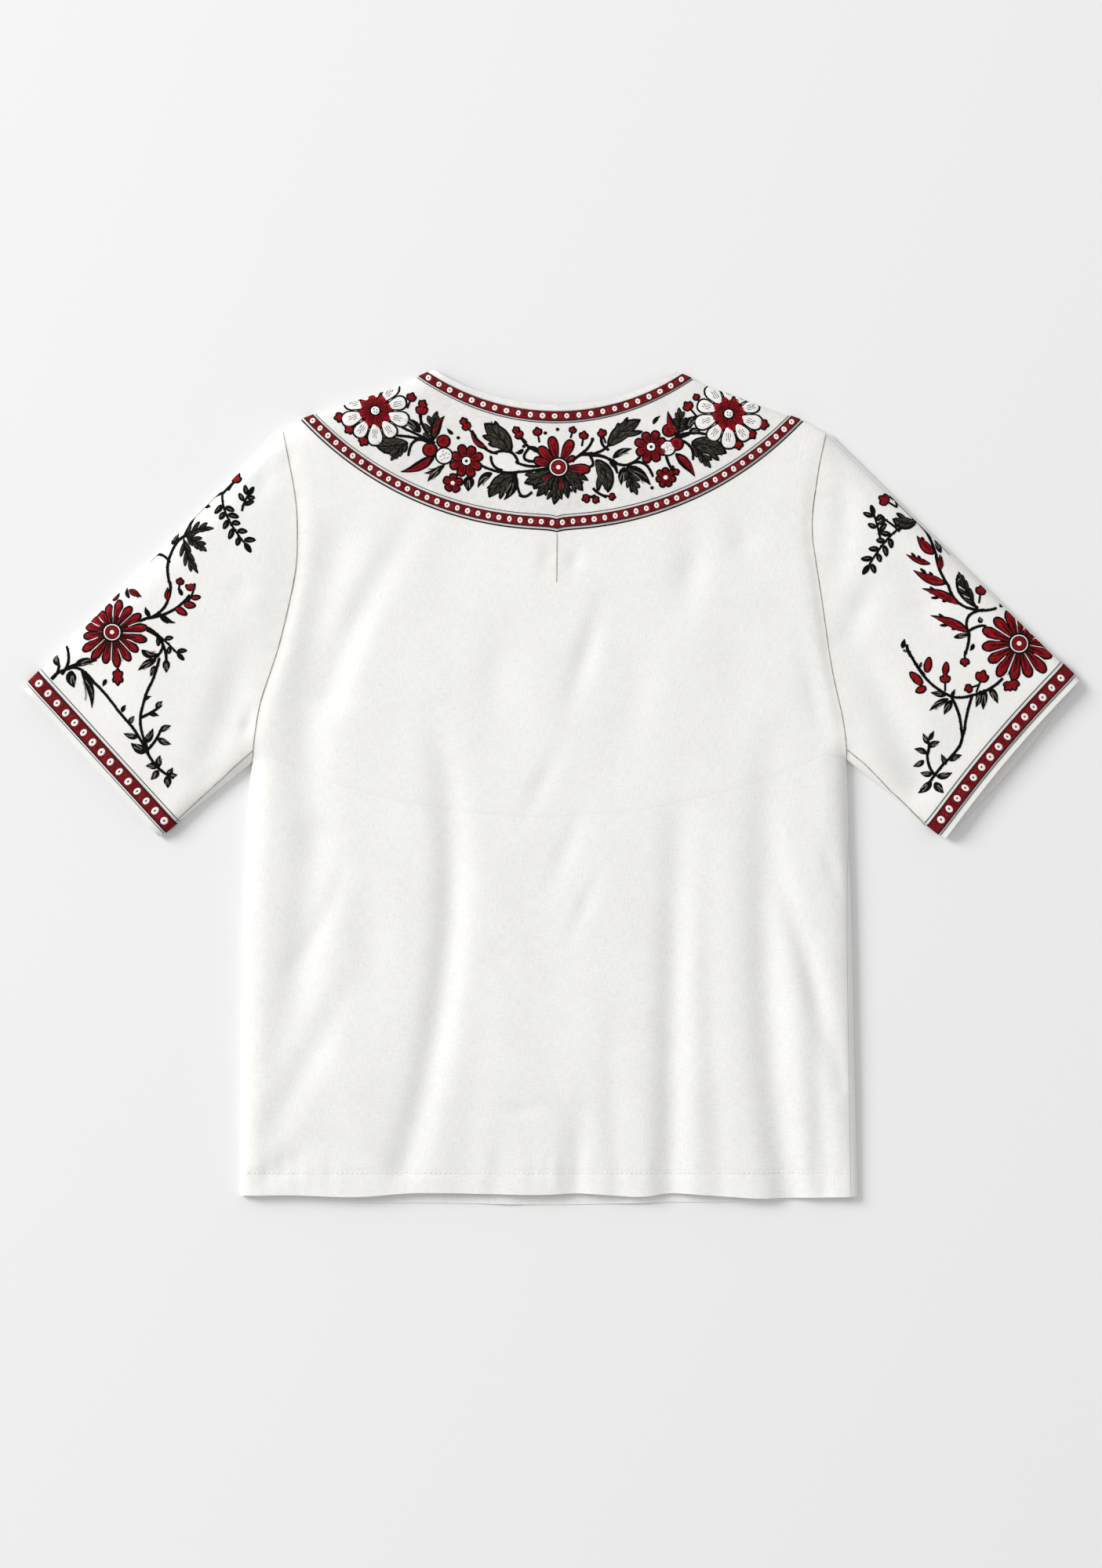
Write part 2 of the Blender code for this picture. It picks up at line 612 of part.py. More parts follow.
def sleeve_plan(side, layer, from_cuff=None):
    """Plan grid of one layer of a sleeve: rows run from the armhole to the cuff, columns from top to bottom."""
    cuff = CUFFS[side]
    curve = ARMHOLE_CURVES[side][::-1]
    start = at_lengths(curve, armhole_stations(curve))
    along = np.gradient(start, axis=0)
    square = np.column_stack([along[:, 1], -along[:, 0]]) / np.linalg.norm(along, axis=1)[:, None]
    outward = square * np.sign(square[:, :1] * cuff.top_x)
    start = start + outward * SEAM_GAP
    down = share_of_run(start)
    top, low = cuff_corner(side, "top"), cuff_corner(side, "low")
    bow = cuff.bow_upper if layer == "upper" else cuff.bow_lower
    end = top + (low - top) * down[:, None] + cuff_inward(side) * (bow * np.sin(np.pi * down))[:, None]
    whole = np.linalg.norm(end - start, axis=1)[:, None]
    if from_cuff is not None:
        return np.array([end + (start - end) * (distance / whole) for distance in from_cuff])
    even = 1.0 - (CUFF_RIBBON[1] + ABOVE_CUFF_RIBBON) / whole
    body_rows = [start + (end - start) * share * even for share in np.linspace(0.0, 1.0, SLEEVE_STEPS + 1)]
    return np.array(body_rows + [end + (start - end) * (distance / whole) for distance in SLEEVE_FROM_CUFF])


def sleeve_ring(side, from_cuff=None, rise=0.0, wall=WALL):
    """Rings of a sleeve: across the upper layer and back along the lower one."""
    upper = lay(sleeve_plan(side, "upper", from_cuff), "upper", rise, wall)
    lower = lay(sleeve_plan(side, "lower", from_cuff), "lower", rise, wall)
    return [np.concatenate([up, down[:, -2:0:-1]], axis=1) for up, down in zip(upper, lower)]


def sleeve(side):
    """One sleeve, a flattened tube open at the armhole and the cuff."""
    outer, inner = sleeve_ring(side)
    return make_wall(f"sleeve_{side}", outer, inner, quads(*outer.shape[:2], closed=True), CLOTH)


def cuff_ribbon(side):
    """The ribbon sewn round a cuff."""
    outer, inner = sleeve_ring(side, CUFF_RIBBON[::-1], SEAM_GAP + RIBBON_WALL, RIBBON_WALL)
    return make_wall(f"cuff_ribbon_{side}", outer, inner, quads(*outer.shape[:2], closed=True), RIBBON)


def build():
    """Clear the scene and make every piece."""
    for item in list(bpy.data.objects):
        bpy.data.objects.remove(item, do_unlink=True)
    back_panel()
    front_panel()
    yoke()
    yoke_band("neck_binding_back", yoke_plan((), (BINDING_WIDTH, BINDING_WIDTH / 2, 0.0)),
              BINDING_RISE, BINDING_WALL, BINDING)
    yoke_band("neck_ribbon", yoke_plan((), NECK_RIBBON[::-1]), SEAM_GAP + RIBBON_WALL, RIBBON_WALL, RIBBON)
    yoke_band("yoke_ribbon", yoke_plan(YOKE_RIBBON, ()), SEAM_GAP + RIBBON_WALL, RIBBON_WALL, RIBBON)
    front_binding()
    for side in ("left", "right"):
        sleeve(side)
        cuff_ribbon(side)


build()
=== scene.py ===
import math
import random
from collections import namedtuple

import bmesh
import bpy
import numpy as np
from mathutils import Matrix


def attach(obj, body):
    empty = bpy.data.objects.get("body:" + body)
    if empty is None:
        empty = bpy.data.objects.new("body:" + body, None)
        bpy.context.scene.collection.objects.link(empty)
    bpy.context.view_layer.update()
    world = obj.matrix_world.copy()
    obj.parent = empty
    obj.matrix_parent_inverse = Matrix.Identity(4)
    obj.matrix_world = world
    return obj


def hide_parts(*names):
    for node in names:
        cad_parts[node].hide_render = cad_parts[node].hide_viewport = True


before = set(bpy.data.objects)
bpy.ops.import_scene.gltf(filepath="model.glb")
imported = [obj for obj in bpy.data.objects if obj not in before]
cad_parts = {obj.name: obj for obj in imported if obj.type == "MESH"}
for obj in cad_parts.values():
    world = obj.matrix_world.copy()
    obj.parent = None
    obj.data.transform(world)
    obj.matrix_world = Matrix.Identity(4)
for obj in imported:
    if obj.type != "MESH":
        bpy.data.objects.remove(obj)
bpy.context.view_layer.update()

# Blouse laid flat on its front, back up. Plan sizes in millimetres: x across, y to the neck, z off the table
metres = 0.001

blouse = {
    "planCentre": (-0.2, -0.45),   # moved by this, so that the origin is under the middle
    "cloth": 0.7,                  # thickness of a finished panel
    "foldRadius": 3.0,             # lower half of the fold along every side
    "crown": 12.5,                 # height of the upper layer away from its edges
    "crownWidth": 22.0,
    "lowestUpper": 3.2,
    "edgeDrop": {"hem": 4.0, "neck": 4.5, "cuff": 4.0},
    "edgeReach": {"hem": 110.0, "neck": 70.0, "cuff": 80.0},
    "armholeValley": 3.4,
    "valleyOnBody": 7.0,
    "valleyOnSleeve": 24.0,
    "cuffLift": 1.55,
    "cuffLiftReach": (20.0, 46.0),
    "seamGap": 0.3,
    "foldSpread": 1.3,
    "foldStrength": 1.35,
}
trims = {
    "bindingWidth": 5.0,
    "neckRibbon": (5.6, 13.6),     # from the neck edge
    "yokeRibbon": (2.8, 11.0),     # from the yoke's lower edge
    "cuffRibbon": (6.4, 18.4),     # from the cuff edge
    "ribbonWall": 0.8,
    "bindingWall": 1.5,
    "veePoint": (3.0, 150.0),
    "yokeNotch": 1.7,
    "yokeNotchWidth": 5.0,
}

# Side of the body from the hem to the underarm, and how far the front comes round onto the back
SideRow = namedtuple("SideRow", "leftX leftY rightX rightY wrap")
sideRows = [
    SideRow(-254.7, -333.9, 250.1, -334.8, 5.2),
    SideRow(-254.5, -280.0, 249.0, -280.0, 5.2),
    SideRow(-254.1, -221.6, 247.7, -221.6, 4.8),
    SideRow(-253.4, -170.0, 246.7, -170.0, 4.6),
    SideRow(-252.8, -125.6, 245.8, -125.6, 4.4),
    SideRow(-251.0, -80.0, 244.6, -80.0, 3.0),
    SideRow(-249.3, -40.0, 243.0, -40.0, 0.0),
    SideRow(-247.0, 0.0, 242.0, 0.0, 0.0),
    SideRow(-244.5, 20.0, 241.3, 22.0, 0.0),
]
EdgeRow = namedtuple("EdgeRow", "leftX leftY rightX rightY")
armholeRows = [
    EdgeRow(-244.5, 20.0, 241.3, 22.0),
    EdgeRow(-238.1, 66.4, 238.1, 53.0),
    EdgeRow(-222.7, 114.4, 228.5, 98.4),
    EdgeRow(-209.3, 173.9, 219.5, 159.8),
    EdgeRow(-207.4, 207.2, 212.5, 207.2),
    EdgeRow(-208.9, 236.0, 214.6, 235.0),
    EdgeRow(-215.0, 270.0, 218.8, 265.0),
    EdgeRow(-219.5, 293.0, 224.6, 289.8),
]
shoulderRows = [
    EdgeRow(-219.5, 293.0, 224.6, 289.8),
    EdgeRow(-204.8, 300.0, 206.1, 299.0),
    EdgeRow(-178.6, 309.6, 175.4, 310.2),
    EdgeRow(-149.1, 319.8, 149.1, 320.2),
    EdgeRow(-124.8, 328.0, 128.0, 328.2),
    EdgeRow(-96.0, 341.0, 101.8, 339.4),
]
neckLow = (2.6, 312.4)
yokeLow = (4.5, 209.4)
HemRow = namedtuple("HemRow", "x backY frontY")
hemRows = [
    HemRow(-254.7, -333.9, -333.9),
    HemRow(-212.0, -333.6, -336.0),
    HemRow(-159.0, -334.9, -340.4),
    HemRow(-106.0, -331.7, -340.3),
    HemRow(-18.0, -333.2, -341.8),
    HemRow(24.0, -332.2, -341.6),
    HemRow(70.0, -334.8, -340.6),
    HemRow(100.0, -332.2, -339.6),
    HemRow(145.0, -334.8, -339.9),
    HemRow(177.0, -336.2, -337.4),
    HemRow(250.1, -334.8, -334.8),
]
Cuff = namedtuple("Cuff", "topX topY lowX lowY bowUpper bowLower")
cuffs = {
    "left": Cuff(-431.6, 81.1, -320.6, -40.7, 0.0, 0.0),
    "right": Cuff(431.2, 87.3, 321.7, -42.2, 3.2, -5.0),
}

# Troughs in the upper layer: a curve through three points, half width, depth at each point
Fold = namedtuple("Fold", "x1 y1 x2 y2 x3 y3 width depth1 depth2 depth3")
mainFolds = [
    Fold(-176, 194, -197, 73, -194, -55, 16, 1.6, 3.2, 1.3),
    Fold(-195, -45, -205, -150, -223, -228, 15, 1.5, 3.2, 1.0),
    Fold(-115, 214, -158, 137, -180, 73, 11, 0.6, 2.4, 2.0),
    Fold(-96, 60, -82, -110, -120, -311, 11, 0.5, 3.2, 2.2),
    Fold(40, 150, 28, 108, 15, 66, 8, 0.4, 1.6, 0.4),
    Fold(104, -23, 101, -126, 97, -334, 11, 0.5, 2.4, 3.4),
    Fold(179, 41, 176, -151, 194, -336, 13, 0.6, 3.4, 4.2),
    Fold(182, -55, 207, -138, 237, -241, 8, 0.5, 2.2, 1.2),
    Fold(-167, -164, -197, -222, -226, -279, 11, 0.5, 2.0, 1.0),
    Fold(24, -254, 22, -290, 20, -334, 10, 0.3, 1.5, 2.0),
    Fold(118, 201, 114, 176, 111, 150, 11, 0.5, 1.8, 0.5),
    Fold(-251, 130, -259, 79, -282, 12, 14, 0.6, 2.5, 1.8),
    Fold(-230, 262, -235, 250, -243, 236, 8, 0.6, 1.6, 0.5),
    Fold(238, 271, 239, 220, 234, 175, 9, 0.6, 1.2, 0.6),
    Fold(261, 162, 253, 146, 245, 130, 9, 0.5, 1.4, 0.8),
    Fold(249, 117, 272, 69, 297, 5, 14, 1.0, 2.6, 2.0),
    Fold(295, 172, 305, 148, 314, 124, 12, 0.4, 1.4, 0.4),
]
smallCreases = [
    Fold(21, 194, 19, 184, 16, 172, 5, 0.2, 0.9, 0.2),
    Fold(-2, 198, -4, 186, -8, 170, 5, 0.1, 0.6, 0.1),
    Fold(6, 32, -8, 2, -21, -26, 7, 0.2, 0.9, 0.2),
    Fold(26, -18, 12, -52, 0, -84, 7, 0.2, 0.8, 0.2),
    Fold(40, -70, 26, -100, 16, -128, 6, 0.2, 0.7, 0.2),
    Fold(223, -42, 228, -66, 236, -88, 6, 0.3, 1.3, 0.4),
    Fold(-194, -292, -216, -308, -238, -322, 9, 0.2, 1.3, 0.8),
    Fold(-41, -262, -24, -264, -6, -262, 5, 0.2, 0.7, 0.2),
    Fold(-44, -272, -42, -300, -46, -330, 9, 0.2, 0.8, 1.2),
    Fold(150, 222, 157, 200, 166, 182, 11, 0.3, 1.2, 0.3),
    Fold(-244, 63, -248, 50, -252, 38, 5, 0.4, 1.3, 0.3),
    Fold(-210, 278, -214, 268, -222, 258, 6, 0.3, 1.0, 0.2),
    Fold(-250, 172, -254, 160, -262, 146, 9, 0.2, 1.0, 0.2),
    Fold(251, 262, 256, 252, 262, 243, 6, 0.2, 0.9, 0.2),
    Fold(-150, -40, -146, -120, -158, -210, 14, 0.2, 0.9, 0.3),
    Fold(132, -40, 128, -150, 138, -330, 9, 0.1, 0.7, 1.0),
    Fold(-60, -150, -62, -240, -70, -334, 13, 0.2, 0.8, 1.1),
    Fold(52, -180, 50, -260, 54, -334, 9, 0.2, 0.7, 1.0),
    Fold(-168, -60, -186, -110, -212, -150, 7, 0.3, 1.0, 0.3),
    Fold(205, 120, 214, 80, 222, 36, 8, 0.2, 1.1, 0.4),
    Fold(214, -120, 216, -200, 222, -330, 8, 0.2, 1.0, 1.6),
    Fold(-30, 140, -44, 96, -52, 40, 12, 0.1, 0.7, 0.2),
    Fold(80, 120, 70, 70, 58, 20, 12, 0.1, 0.7, 0.2),
]
# The layer against the table has its own low creases, lifted off it
underCreases = [
    Fold(-196, 150, -188, 40, -206, -60, 15, 0.3, 1.1, 0.5),
    Fold(-120, 30, -132, -110, -112, -300, 17, 0.3, 1.2, 0.9),
    Fold(-40, -20, -54, -140, -36, -334, 14, 0.2, 0.9, 1.0),
    Fold(28, 120, 14, 10, 30, -90, 12, 0.3, 0.8, 0.3),
    Fold(70, -60, 84, -190, 72, -334, 15, 0.3, 1.1, 1.2),
    Fold(150, 90, 162, -60, 148, -210, 18, 0.4, 1.3, 0.5),
    Fold(206, -80, 190, -190, 214, -322, 13, 0.3, 1.0, 0.8),
    Fold(188, 240, 176, 180, 184, 110, 12, 0.2, 0.8, 0.3),
    Fold(-160, 270, -150, 220, -166, 170, 11, 0.2, 0.8, 0.3),
    Fold(-270, 150, -292, 84, -306, 20, 14, 0.4, 1.2, 0.6),
    Fold(276, 160, 290, 92, 312, 24, 14, 0.4, 1.1, 0.6),
    Fold(-330, 120, -346, 84, -352, 44, 10, 0.2, 0.7, 0.3),
    Fold(338, 128, 350, 88, 356, 50, 10, 0.2, 0.7, 0.3),
    Fold(-90, -230, -60, -238, -24, -226, 9, 0.1, 0.5, 0.1),
]


def smoothStep(value):
    eased = np.clip(value, 0.0, 1.0)
    return eased * eased * (3.0 - 2.0 * eased)


# Catmull-Rom curve through the points
def smoothCurve(points, steps=8):
    rows = np.asarray(points, dtype=float)
    ends = np.vstack([2 * rows[0] - rows[1], rows, 2 * rows[-1] - rows[-2]])
    dense = []
    for before, start, end, after in zip(ends, ends[1:], ends[2:], ends[3:]):
        for t in np.arange(steps) / steps:
            dense.append(0.5 * (2 * start + (end - before) * t
                                + (2 * before - 5 * start + 4 * end - after) * t ** 2
                                + (3 * start - before - 3 * end + after) * t ** 3))
    dense.append(rows[-1])
    return np.array(dense)


def runLengths(curve):
    steps = np.linalg.norm(np.diff(curve, axis=0), axis=1)
    return np.concatenate([[0.0], np.cumsum(steps)])


def atLengths(curve, lengths):
    run = runLengths(curve)
    return np.column_stack([np.interp(lengths, run, curve[:, axis]) for axis in (0, 1)])


def shareOfRun(points):
    run = runLengths(points)
    return run / run[-1]


def arcThrough(start, middle, end):
    (ax, ay), (bx, by), (cx, cy) = start, middle, end
    twice = 2.0 * (ax * (by - cy) + bx * (cy - ay) + cx * (ay - by))
    squares = [x * x + y * y for x, y in (start, middle, end)]
    x = (squares[0] * (by - cy) + squares[1] * (cy - ay) + squares[2] * (ay - by)) / twice
    y = (squares[0] * (cx - bx) + squares[1] * (ax - cx) + squares[2] * (bx - ax)) / twice
    return np.array([x, y]), math.hypot(ax - x, ay - y)


def arcPoints(start, middle, end, fractions):
    centre, radius = arcThrough(start, middle, end)
    angles = [math.atan2(x - centre[0], centre[1] - y) for x, y in (start, middle, end)]
    angle = np.interp(fractions, [0.0, 0.5, 1.0], angles)
    return centre + radius * np.column_stack([np.sin(angle), -np.cos(angle)])


def sidePoints(rows, side):
    if side == "left":
        return [(row.leftX, row.leftY) for row in rows]
    return [(row.rightX, row.rightY) for row in rows]


bothSides = ("left", "right")
sideCurves = {side: smoothCurve(sidePoints(sideRows, side)) for side in bothSides}
armholeCurves = {side: smoothCurve(sidePoints(armholeRows, side)) for side in bothSides}
shoulderCurves = {side: smoothCurve(sidePoints(shoulderRows, side)) for side in bothSides}
neckEnds = {side: tuple(shoulderCurves[side][-1]) for side in bothSides}
yokeEnds = {side: sidePoints(shoulderRows, side)[1] for side in bothSides}
neckCentre, neckRadius = arcThrough(neckEnds["left"], neckLow, neckEnds["right"])


def cuffCorner(side, which):
    cuff = cuffs[side]
    return np.array([cuff.topX, cuff.topY] if which == "top" else [cuff.lowX, cuff.lowY])


def cuffInward(side):
    along = cuffCorner(side, "low") - cuffCorner(side, "top")
    across = np.array([-along[1], along[0]]) / np.linalg.norm(along)
    return across * np.sign(across[0]) * -np.sign(cuffs[side].topX)


# Every edge where the upper and lower layers are one fold
def foldedEdges(names):
    starts, ends = [], []
    for side in bothSides:
        chains = {"lower": np.vstack([sideCurves[side], cuffCorner(side, "low")]),
                  "upper": np.vstack([cuffCorner(side, "top"), shoulderCurves[side]])}
        for name in names:
            starts.append(chains[name][:-1])
            ends.append(chains[name][1:])
    return np.vstack(starts), np.vstack(ends)


edgeStarts, edgeEnds = foldedEdges(("lower", "upper"))
topStarts, topEnds = foldedEdges(("upper",))


# Distance to the nearest segment, its index, the fraction along it and the point, in blocks to save memory
def nearestOn(starts, ends, plan):
    along = ends - starts
    square = (along ** 2).sum(1)
    parts = []
    for first in range(0, len(plan), 6000):
        block = plan[first:first + 6000]
        away = block[:, None, :] - starts[None]
        fraction = np.clip((away * along).sum(2) / square, 0.0, 1.0)
        nearest = starts[None] + fraction[..., None] * along[None]
        distance = np.linalg.norm(block[:, None, :] - nearest, axis=2)
        index = distance.argmin(1)
        rows = np.arange(len(block))
        parts.append((distance[rows, index], index, fraction[rows, index], nearest[rows, index]))
    return tuple(np.concatenate(column) for column in zip(*parts))


def toFoldedEdge(plan):
    distance, index, _, nearest = nearestOn(edgeStarts, edgeEnds, plan)
    along = edgeEnds[index] - edgeStarts[index]
    square = np.column_stack([-along[:, 1], along[:, 0]])
    square /= np.linalg.norm(square, axis=1)[:, None]
    side = -np.sign(nearest[:, :1])
    outward = np.where(distance[:, None] > 0.02, (nearest - plan) / np.maximum(distance, 1e-9)[:, None],
                       square * side)
    return distance, outward


def foldDepth(plan, folds):
    total = np.zeros(len(plan))
    t = np.linspace(0.0, 1.0, 9)[:, None]
    for fold in folds:
        start, middle, end = (np.array(p) for p in ((fold.x1, fold.y1), (fold.x2, fold.y2),
                                                    (fold.x3, fold.y3)))
        reach = 3.0 * fold.width * blouse["foldSpread"]
        low = np.minimum(np.minimum(start, middle), end) - reach
        high = np.maximum(np.maximum(start, middle), end) + reach
        near = np.flatnonzero(((plan > low) & (plan < high)).all(1))
        if not len(near):
            continue
        line = start * (1 - t) * (1 - 2 * t) + middle * 4 * t * (1 - t) + end * t * (2 * t - 1)
        distance, index, fraction, _ = nearestOn(line[:-1], line[1:], plan[near])
        depth = np.interp((index + fraction) / 8.0, [0.0, 0.5, 1.0], [fold.depth1, fold.depth2, fold.depth3])
        q = (distance / (fold.width * blouse["foldSpread"])) ** 2
        total[near] -= blouse["foldStrength"] * depth * (1.0 - 0.3 * q) * np.exp(-q)
    return total


def armholeValley(plan):
    total = np.zeros(len(plan))
    for side, sign in (("left", 1.0), ("right", -1.0)):
        curve = armholeCurves[side]
        share = np.clip((plan[:, 1] - curve[0, 1]) / (curve[-1, 1] - curve[0, 1]), 0.0, 1.0)
        weight = np.sin(np.pi * share) ** 0.6 * (1.0 - 0.6 * share)
        inside = (plan[:, 0] - np.interp(plan[:, 1], curve[:, 1], curve[:, 0])) * sign
        reach = np.where(inside > 0.0, blouse["valleyOnBody"], blouse["valleyOnSleeve"])
        total -= blouse["armholeValley"] * weight * np.exp(-(inside / reach) ** 2)
    return total


cuffTops = np.array([cuffCorner(side, "top") for side in bothSides])
cuffLows = np.array([cuffCorner(side, "low") for side in bothSides])


def toOpenEdges(plan):
    hem = plan[:, 1] - hemRows[0].backY
    neck = np.linalg.norm(plan - neckCentre, axis=1) - neckRadius
    return {"hem": hem, "neck": neck, "cuff": nearestOn(cuffTops, cuffLows, plan)[0]}


def cuffLift(plan):
    start, end = blouse["cuffLiftReach"]
    return blouse["cuffLift"] * (1.0 - smoothStep((toOpenEdges(plan)["cuff"] - start) / (end - start)))


def crownHeight(plan):
    height = np.full(len(plan), blouse["crown"])
    for edge, distance in toOpenEdges(plan).items():
        height -= blouse["edgeDrop"][edge] * (1.0 - smoothStep(distance / blouse["edgeReach"][edge]))
    return height


softWaves = [
    # wavelength, direction in degrees, phase, height
    (117.0, 9.0, 0.4, 0.26),
    (83.0, -14.0, 2.1, 0.20),
    (71.0, 66.0, 4.0, 0.12),
    (47.0, 4.0, 1.3, 0.08),
]


def softWaviness(plan):
    total = np.zeros(len(plan))
    for length, direction, phase, height in softWaves:
        angle = math.radians(direction)
        along = plan[:, 0] * math.cos(angle) + plan[:, 1] * math.sin(angle)
        across = plan[:, 1] * math.cos(angle) - plan[:, 0] * math.sin(angle)
        bend = 14.0 * np.sin(across / 83.0 + phase) + 6.0 * np.sin(across / 31.0 + 2.0 * phase)
        total += height * np.sin(2 * math.pi * (along + bend) / length + phase)
    return total


hemStitch = {"fromHem": 18.6, "groove": 0.45, "grooveWidth": 1.5, "pucker": 0.32, "puckerReach": 14.0}


# The hem is turned up and stitched: a groove with small puckers either side
def hemPucker(plan):
    x, away = plan[:, 0], plan[:, 1] - hemRows[0].backY - hemStitch["fromHem"]
    groove = -hemStitch["groove"] * np.exp(-(away / hemStitch["grooveWidth"]) ** 2)
    ripple = (np.sin(x / 2.3 + 1.3 * np.sin(x / 17.0)) + 0.7 * np.sin(x / 3.9 + 0.9)) * 0.6
    fade = np.exp(-(away / hemStitch["puckerReach"]) ** 2) * (0.55 + 0.45 * np.sin(x / 41.0 + 1.0))
    return groove + hemStitch["pucker"] * ripple * fade


# Small gathers where the sleeves are eased into the armholes
def seamPucker(plan):
    total = np.zeros(len(plan))
    for side, sign in (("left", 1.0), ("right", -1.0)):
        curve = armholeCurves[side]
        inside = (plan[:, 0] - np.interp(plan[:, 1], curve[:, 1], curve[:, 0])) * sign
        share = np.clip((plan[:, 1] - curve[0, 1]) / (curve[-1, 1] - curve[0, 1]), 0.0, 1.0)
        ripple = np.sin(plan[:, 1] / 2.7 + np.sin(plan[:, 1] / 13.0)) + 0.6 * np.sin(plan[:, 1] / 4.7)
        total += 0.16 * ripple * np.exp(-(inside / 9.0) ** 2) * np.sin(np.pi * share)
    return total


def relief(plan, fine=True):
    distance, _ = toFoldedEdge(plan)
    height = foldDepth(plan, mainFolds) + armholeValley(plan)
    if fine:
        height += foldDepth(plan, smallCreases) + softWaviness(plan) + hemPucker(plan) + seamPucker(plan)
    return smoothStep(distance / 14.0) * height


# Outer height and outward normal of the upper layer
def upperSurface(plan):
    distance, outward = toFoldedEdge(plan)
    crown = crownHeight(plan) - blouse["foldRadius"]
    width = blouse["crownWidth"] * crown / (blouse["crown"] - blouse["foldRadius"])
    q = np.clip(1.0 - distance / width, 0.0, 1.0)
    rise = np.sqrt(np.maximum(1.0 - q * q, 1e-12))
    slope = crown * q / (width * rise)
    step = 0.4
    here = relief(plan)
    grade = np.column_stack([(relief(plan + shift) - here) / step for shift in ([step, 0.0], [0.0, step])])
    lift = cuffLift(plan)
    height = np.maximum(blouse["foldRadius"] + crown * rise + here, blouse["lowestUpper"]) + lift
    height = np.where(distance < 0.02, blouse["foldRadius"] + lift, height)
    normal = np.column_stack([outward * slope[:, None] - grade, np.ones(len(plan))])
    return height, normal / np.linalg.norm(normal, axis=1)[:, None]


def underLift(plan):
    clear = np.minimum(toFoldedEdge(plan)[0], toOpenEdges(plan)["cuff"] - 24.0)
    return -foldDepth(plan, underCreases) * smoothStep(clear / 16.0)


# Outer height and outward normal of the lower layer, which lies on the table
def lowerSurface(plan):
    distance, outward = toFoldedEdge(plan)
    step = 0.4
    here = np.maximum(underLift(plan), 0.0)
    grade = np.column_stack([(np.maximum(underLift(plan + shift), 0.0) - here) / step
                             for shift in ([step, 0.0], [0.0, step])])
    radius = blouse["foldRadius"]
    inFold = np.clip(radius - distance, 0.0, radius) / radius
    depth = np.sqrt(np.maximum(1.0 - inFold ** 2, 1e-12))
    lift = cuffLift(plan)
    height = np.where(distance < 0.02, radius + lift, radius * (1.0 - depth) + lift) + here
    normal = np.column_stack([outward * (inFold / depth)[:, None] + grade, -np.ones(len(plan))])
    return height, normal / np.linalg.norm(normal, axis=1)[:, None]


# Outer and inner points of a wall over plan points, its outer side moved out by rise
def lay(plan, layer, rise=0.0, wall=None):
    wall = blouse["cloth"] if wall is None else wall
    flat = plan.reshape(-1, 2)
    height, normal = upperSurface(flat) if layer == "upper" else lowerSurface(flat)
    outer = np.column_stack([flat, height]) + normal * rise
    return outer.reshape(*plan.shape[:-1], 3), (outer - normal * wall).reshape(*plan.shape[:-1], 3)


# Plan grid between four borders: rows run up, columns run across
def coons(left, right, bottom, top, across, up):
    u = np.asarray(across)[None, :, None]
    v = np.asarray(up)[:, None, None]
    sides = (1 - u) * left[:, None] + u * right[:, None]
    ends = (1 - v) * bottom[None] + v * top[None]
    corners = (1 - v) * ((1 - u) * bottom[0] + u * bottom[-1]) + v * ((1 - u) * top[0] + u * top[-1])
    return sides + ends - corners


# Mesh making
def deselectAll():
    if bpy.context.object and bpy.context.object.mode != "OBJECT":
        bpy.ops.object.mode_set(mode="OBJECT")
    bpy.ops.object.select_all(action="DESELECT")


def makeActive(piece):
    deselectAll()
    piece.select_set(True)
    bpy.context.view_layer.objects.active = piece


# Plan millimetres to metres in the shared frame
def toWorld(points):
    shift = np.array([blouse["planCentre"][0], blouse["planCentre"][1], 0.0])
    return (np.asarray(points, dtype=float) - shift) * metres


# A grid primitive whose points are moved onto the panel, with its inner side joined round the border
def clothGrid(name, outer, inner, closed=False, uvScale=(1.0, 1.0)):
    rows, columns = outer.shape[:2]
    deselectAll()
    bpy.ops.mesh.primitive_grid_add(x_subdivisions=columns - 1, y_subdivisions=rows - 1, size=1.0,
                                    calc_uvs=True)
    piece = bpy.context.object
    piece.name = name
    piece.data.name = name
    piece.data.vertices.foreach_set("co", toWorld(outer.reshape(-1, 3)).ravel())
    uvs = np.zeros(len(piece.data.loops) * 2)
    layer = piece.data.uv_layers[0]
    layer.name = "weave"
    layer.data.foreach_get("uv", uvs)
    layer.data.foreach_set("uv", (uvs.reshape(-1, 2) * np.array(uvScale) * metres).ravel())
    backSide = piece.copy()
    backSide.data = piece.data.copy()
    bpy.context.collection.objects.link(backSide)
    backSide.data.vertices.foreach_set("co", toWorld(inner.reshape(-1, 3)).ravel())
    backSide.data.flip_normals()
    makeActive(piece)
    backSide.select_set(True)
    bpy.ops.object.join()
    bpy.ops.object.mode_set(mode="EDIT")
    if closed:
        bpy.ops.mesh.select_all(action="SELECT")
        bpy.ops.mesh.remove_doubles(threshold=0.00002)
    bpy.ops.mesh.select_all(action="DESELECT")
    bpy.ops.object.mode_set(mode="OBJECT")
    joinBorders(piece)
    bpy.ops.object.shade_smooth_by_angle(angle=math.radians(60))
    return piece


# Faces between the outer border and the inner one
def joinBorders(piece):
    count = len(piece.data.vertices) // 2
    mesh = bmesh.new()
    mesh.from_mesh(piece.data)
    mesh.verts.ensure_lookup_table()
    border = [edge for edge in mesh.edges if edge.is_boundary and edge.verts[0].index < count]
    for edge in border:
        loop = edge.link_loops[0]
        start, end = loop.vert, loop.link_loop_next.vert
        mesh.faces.new([end, start, mesh.verts[start.index + count], mesh.verts[end.index + count]])
    mesh.normal_update()
    mesh.to_mesh(piece.data)
    mesh.free()


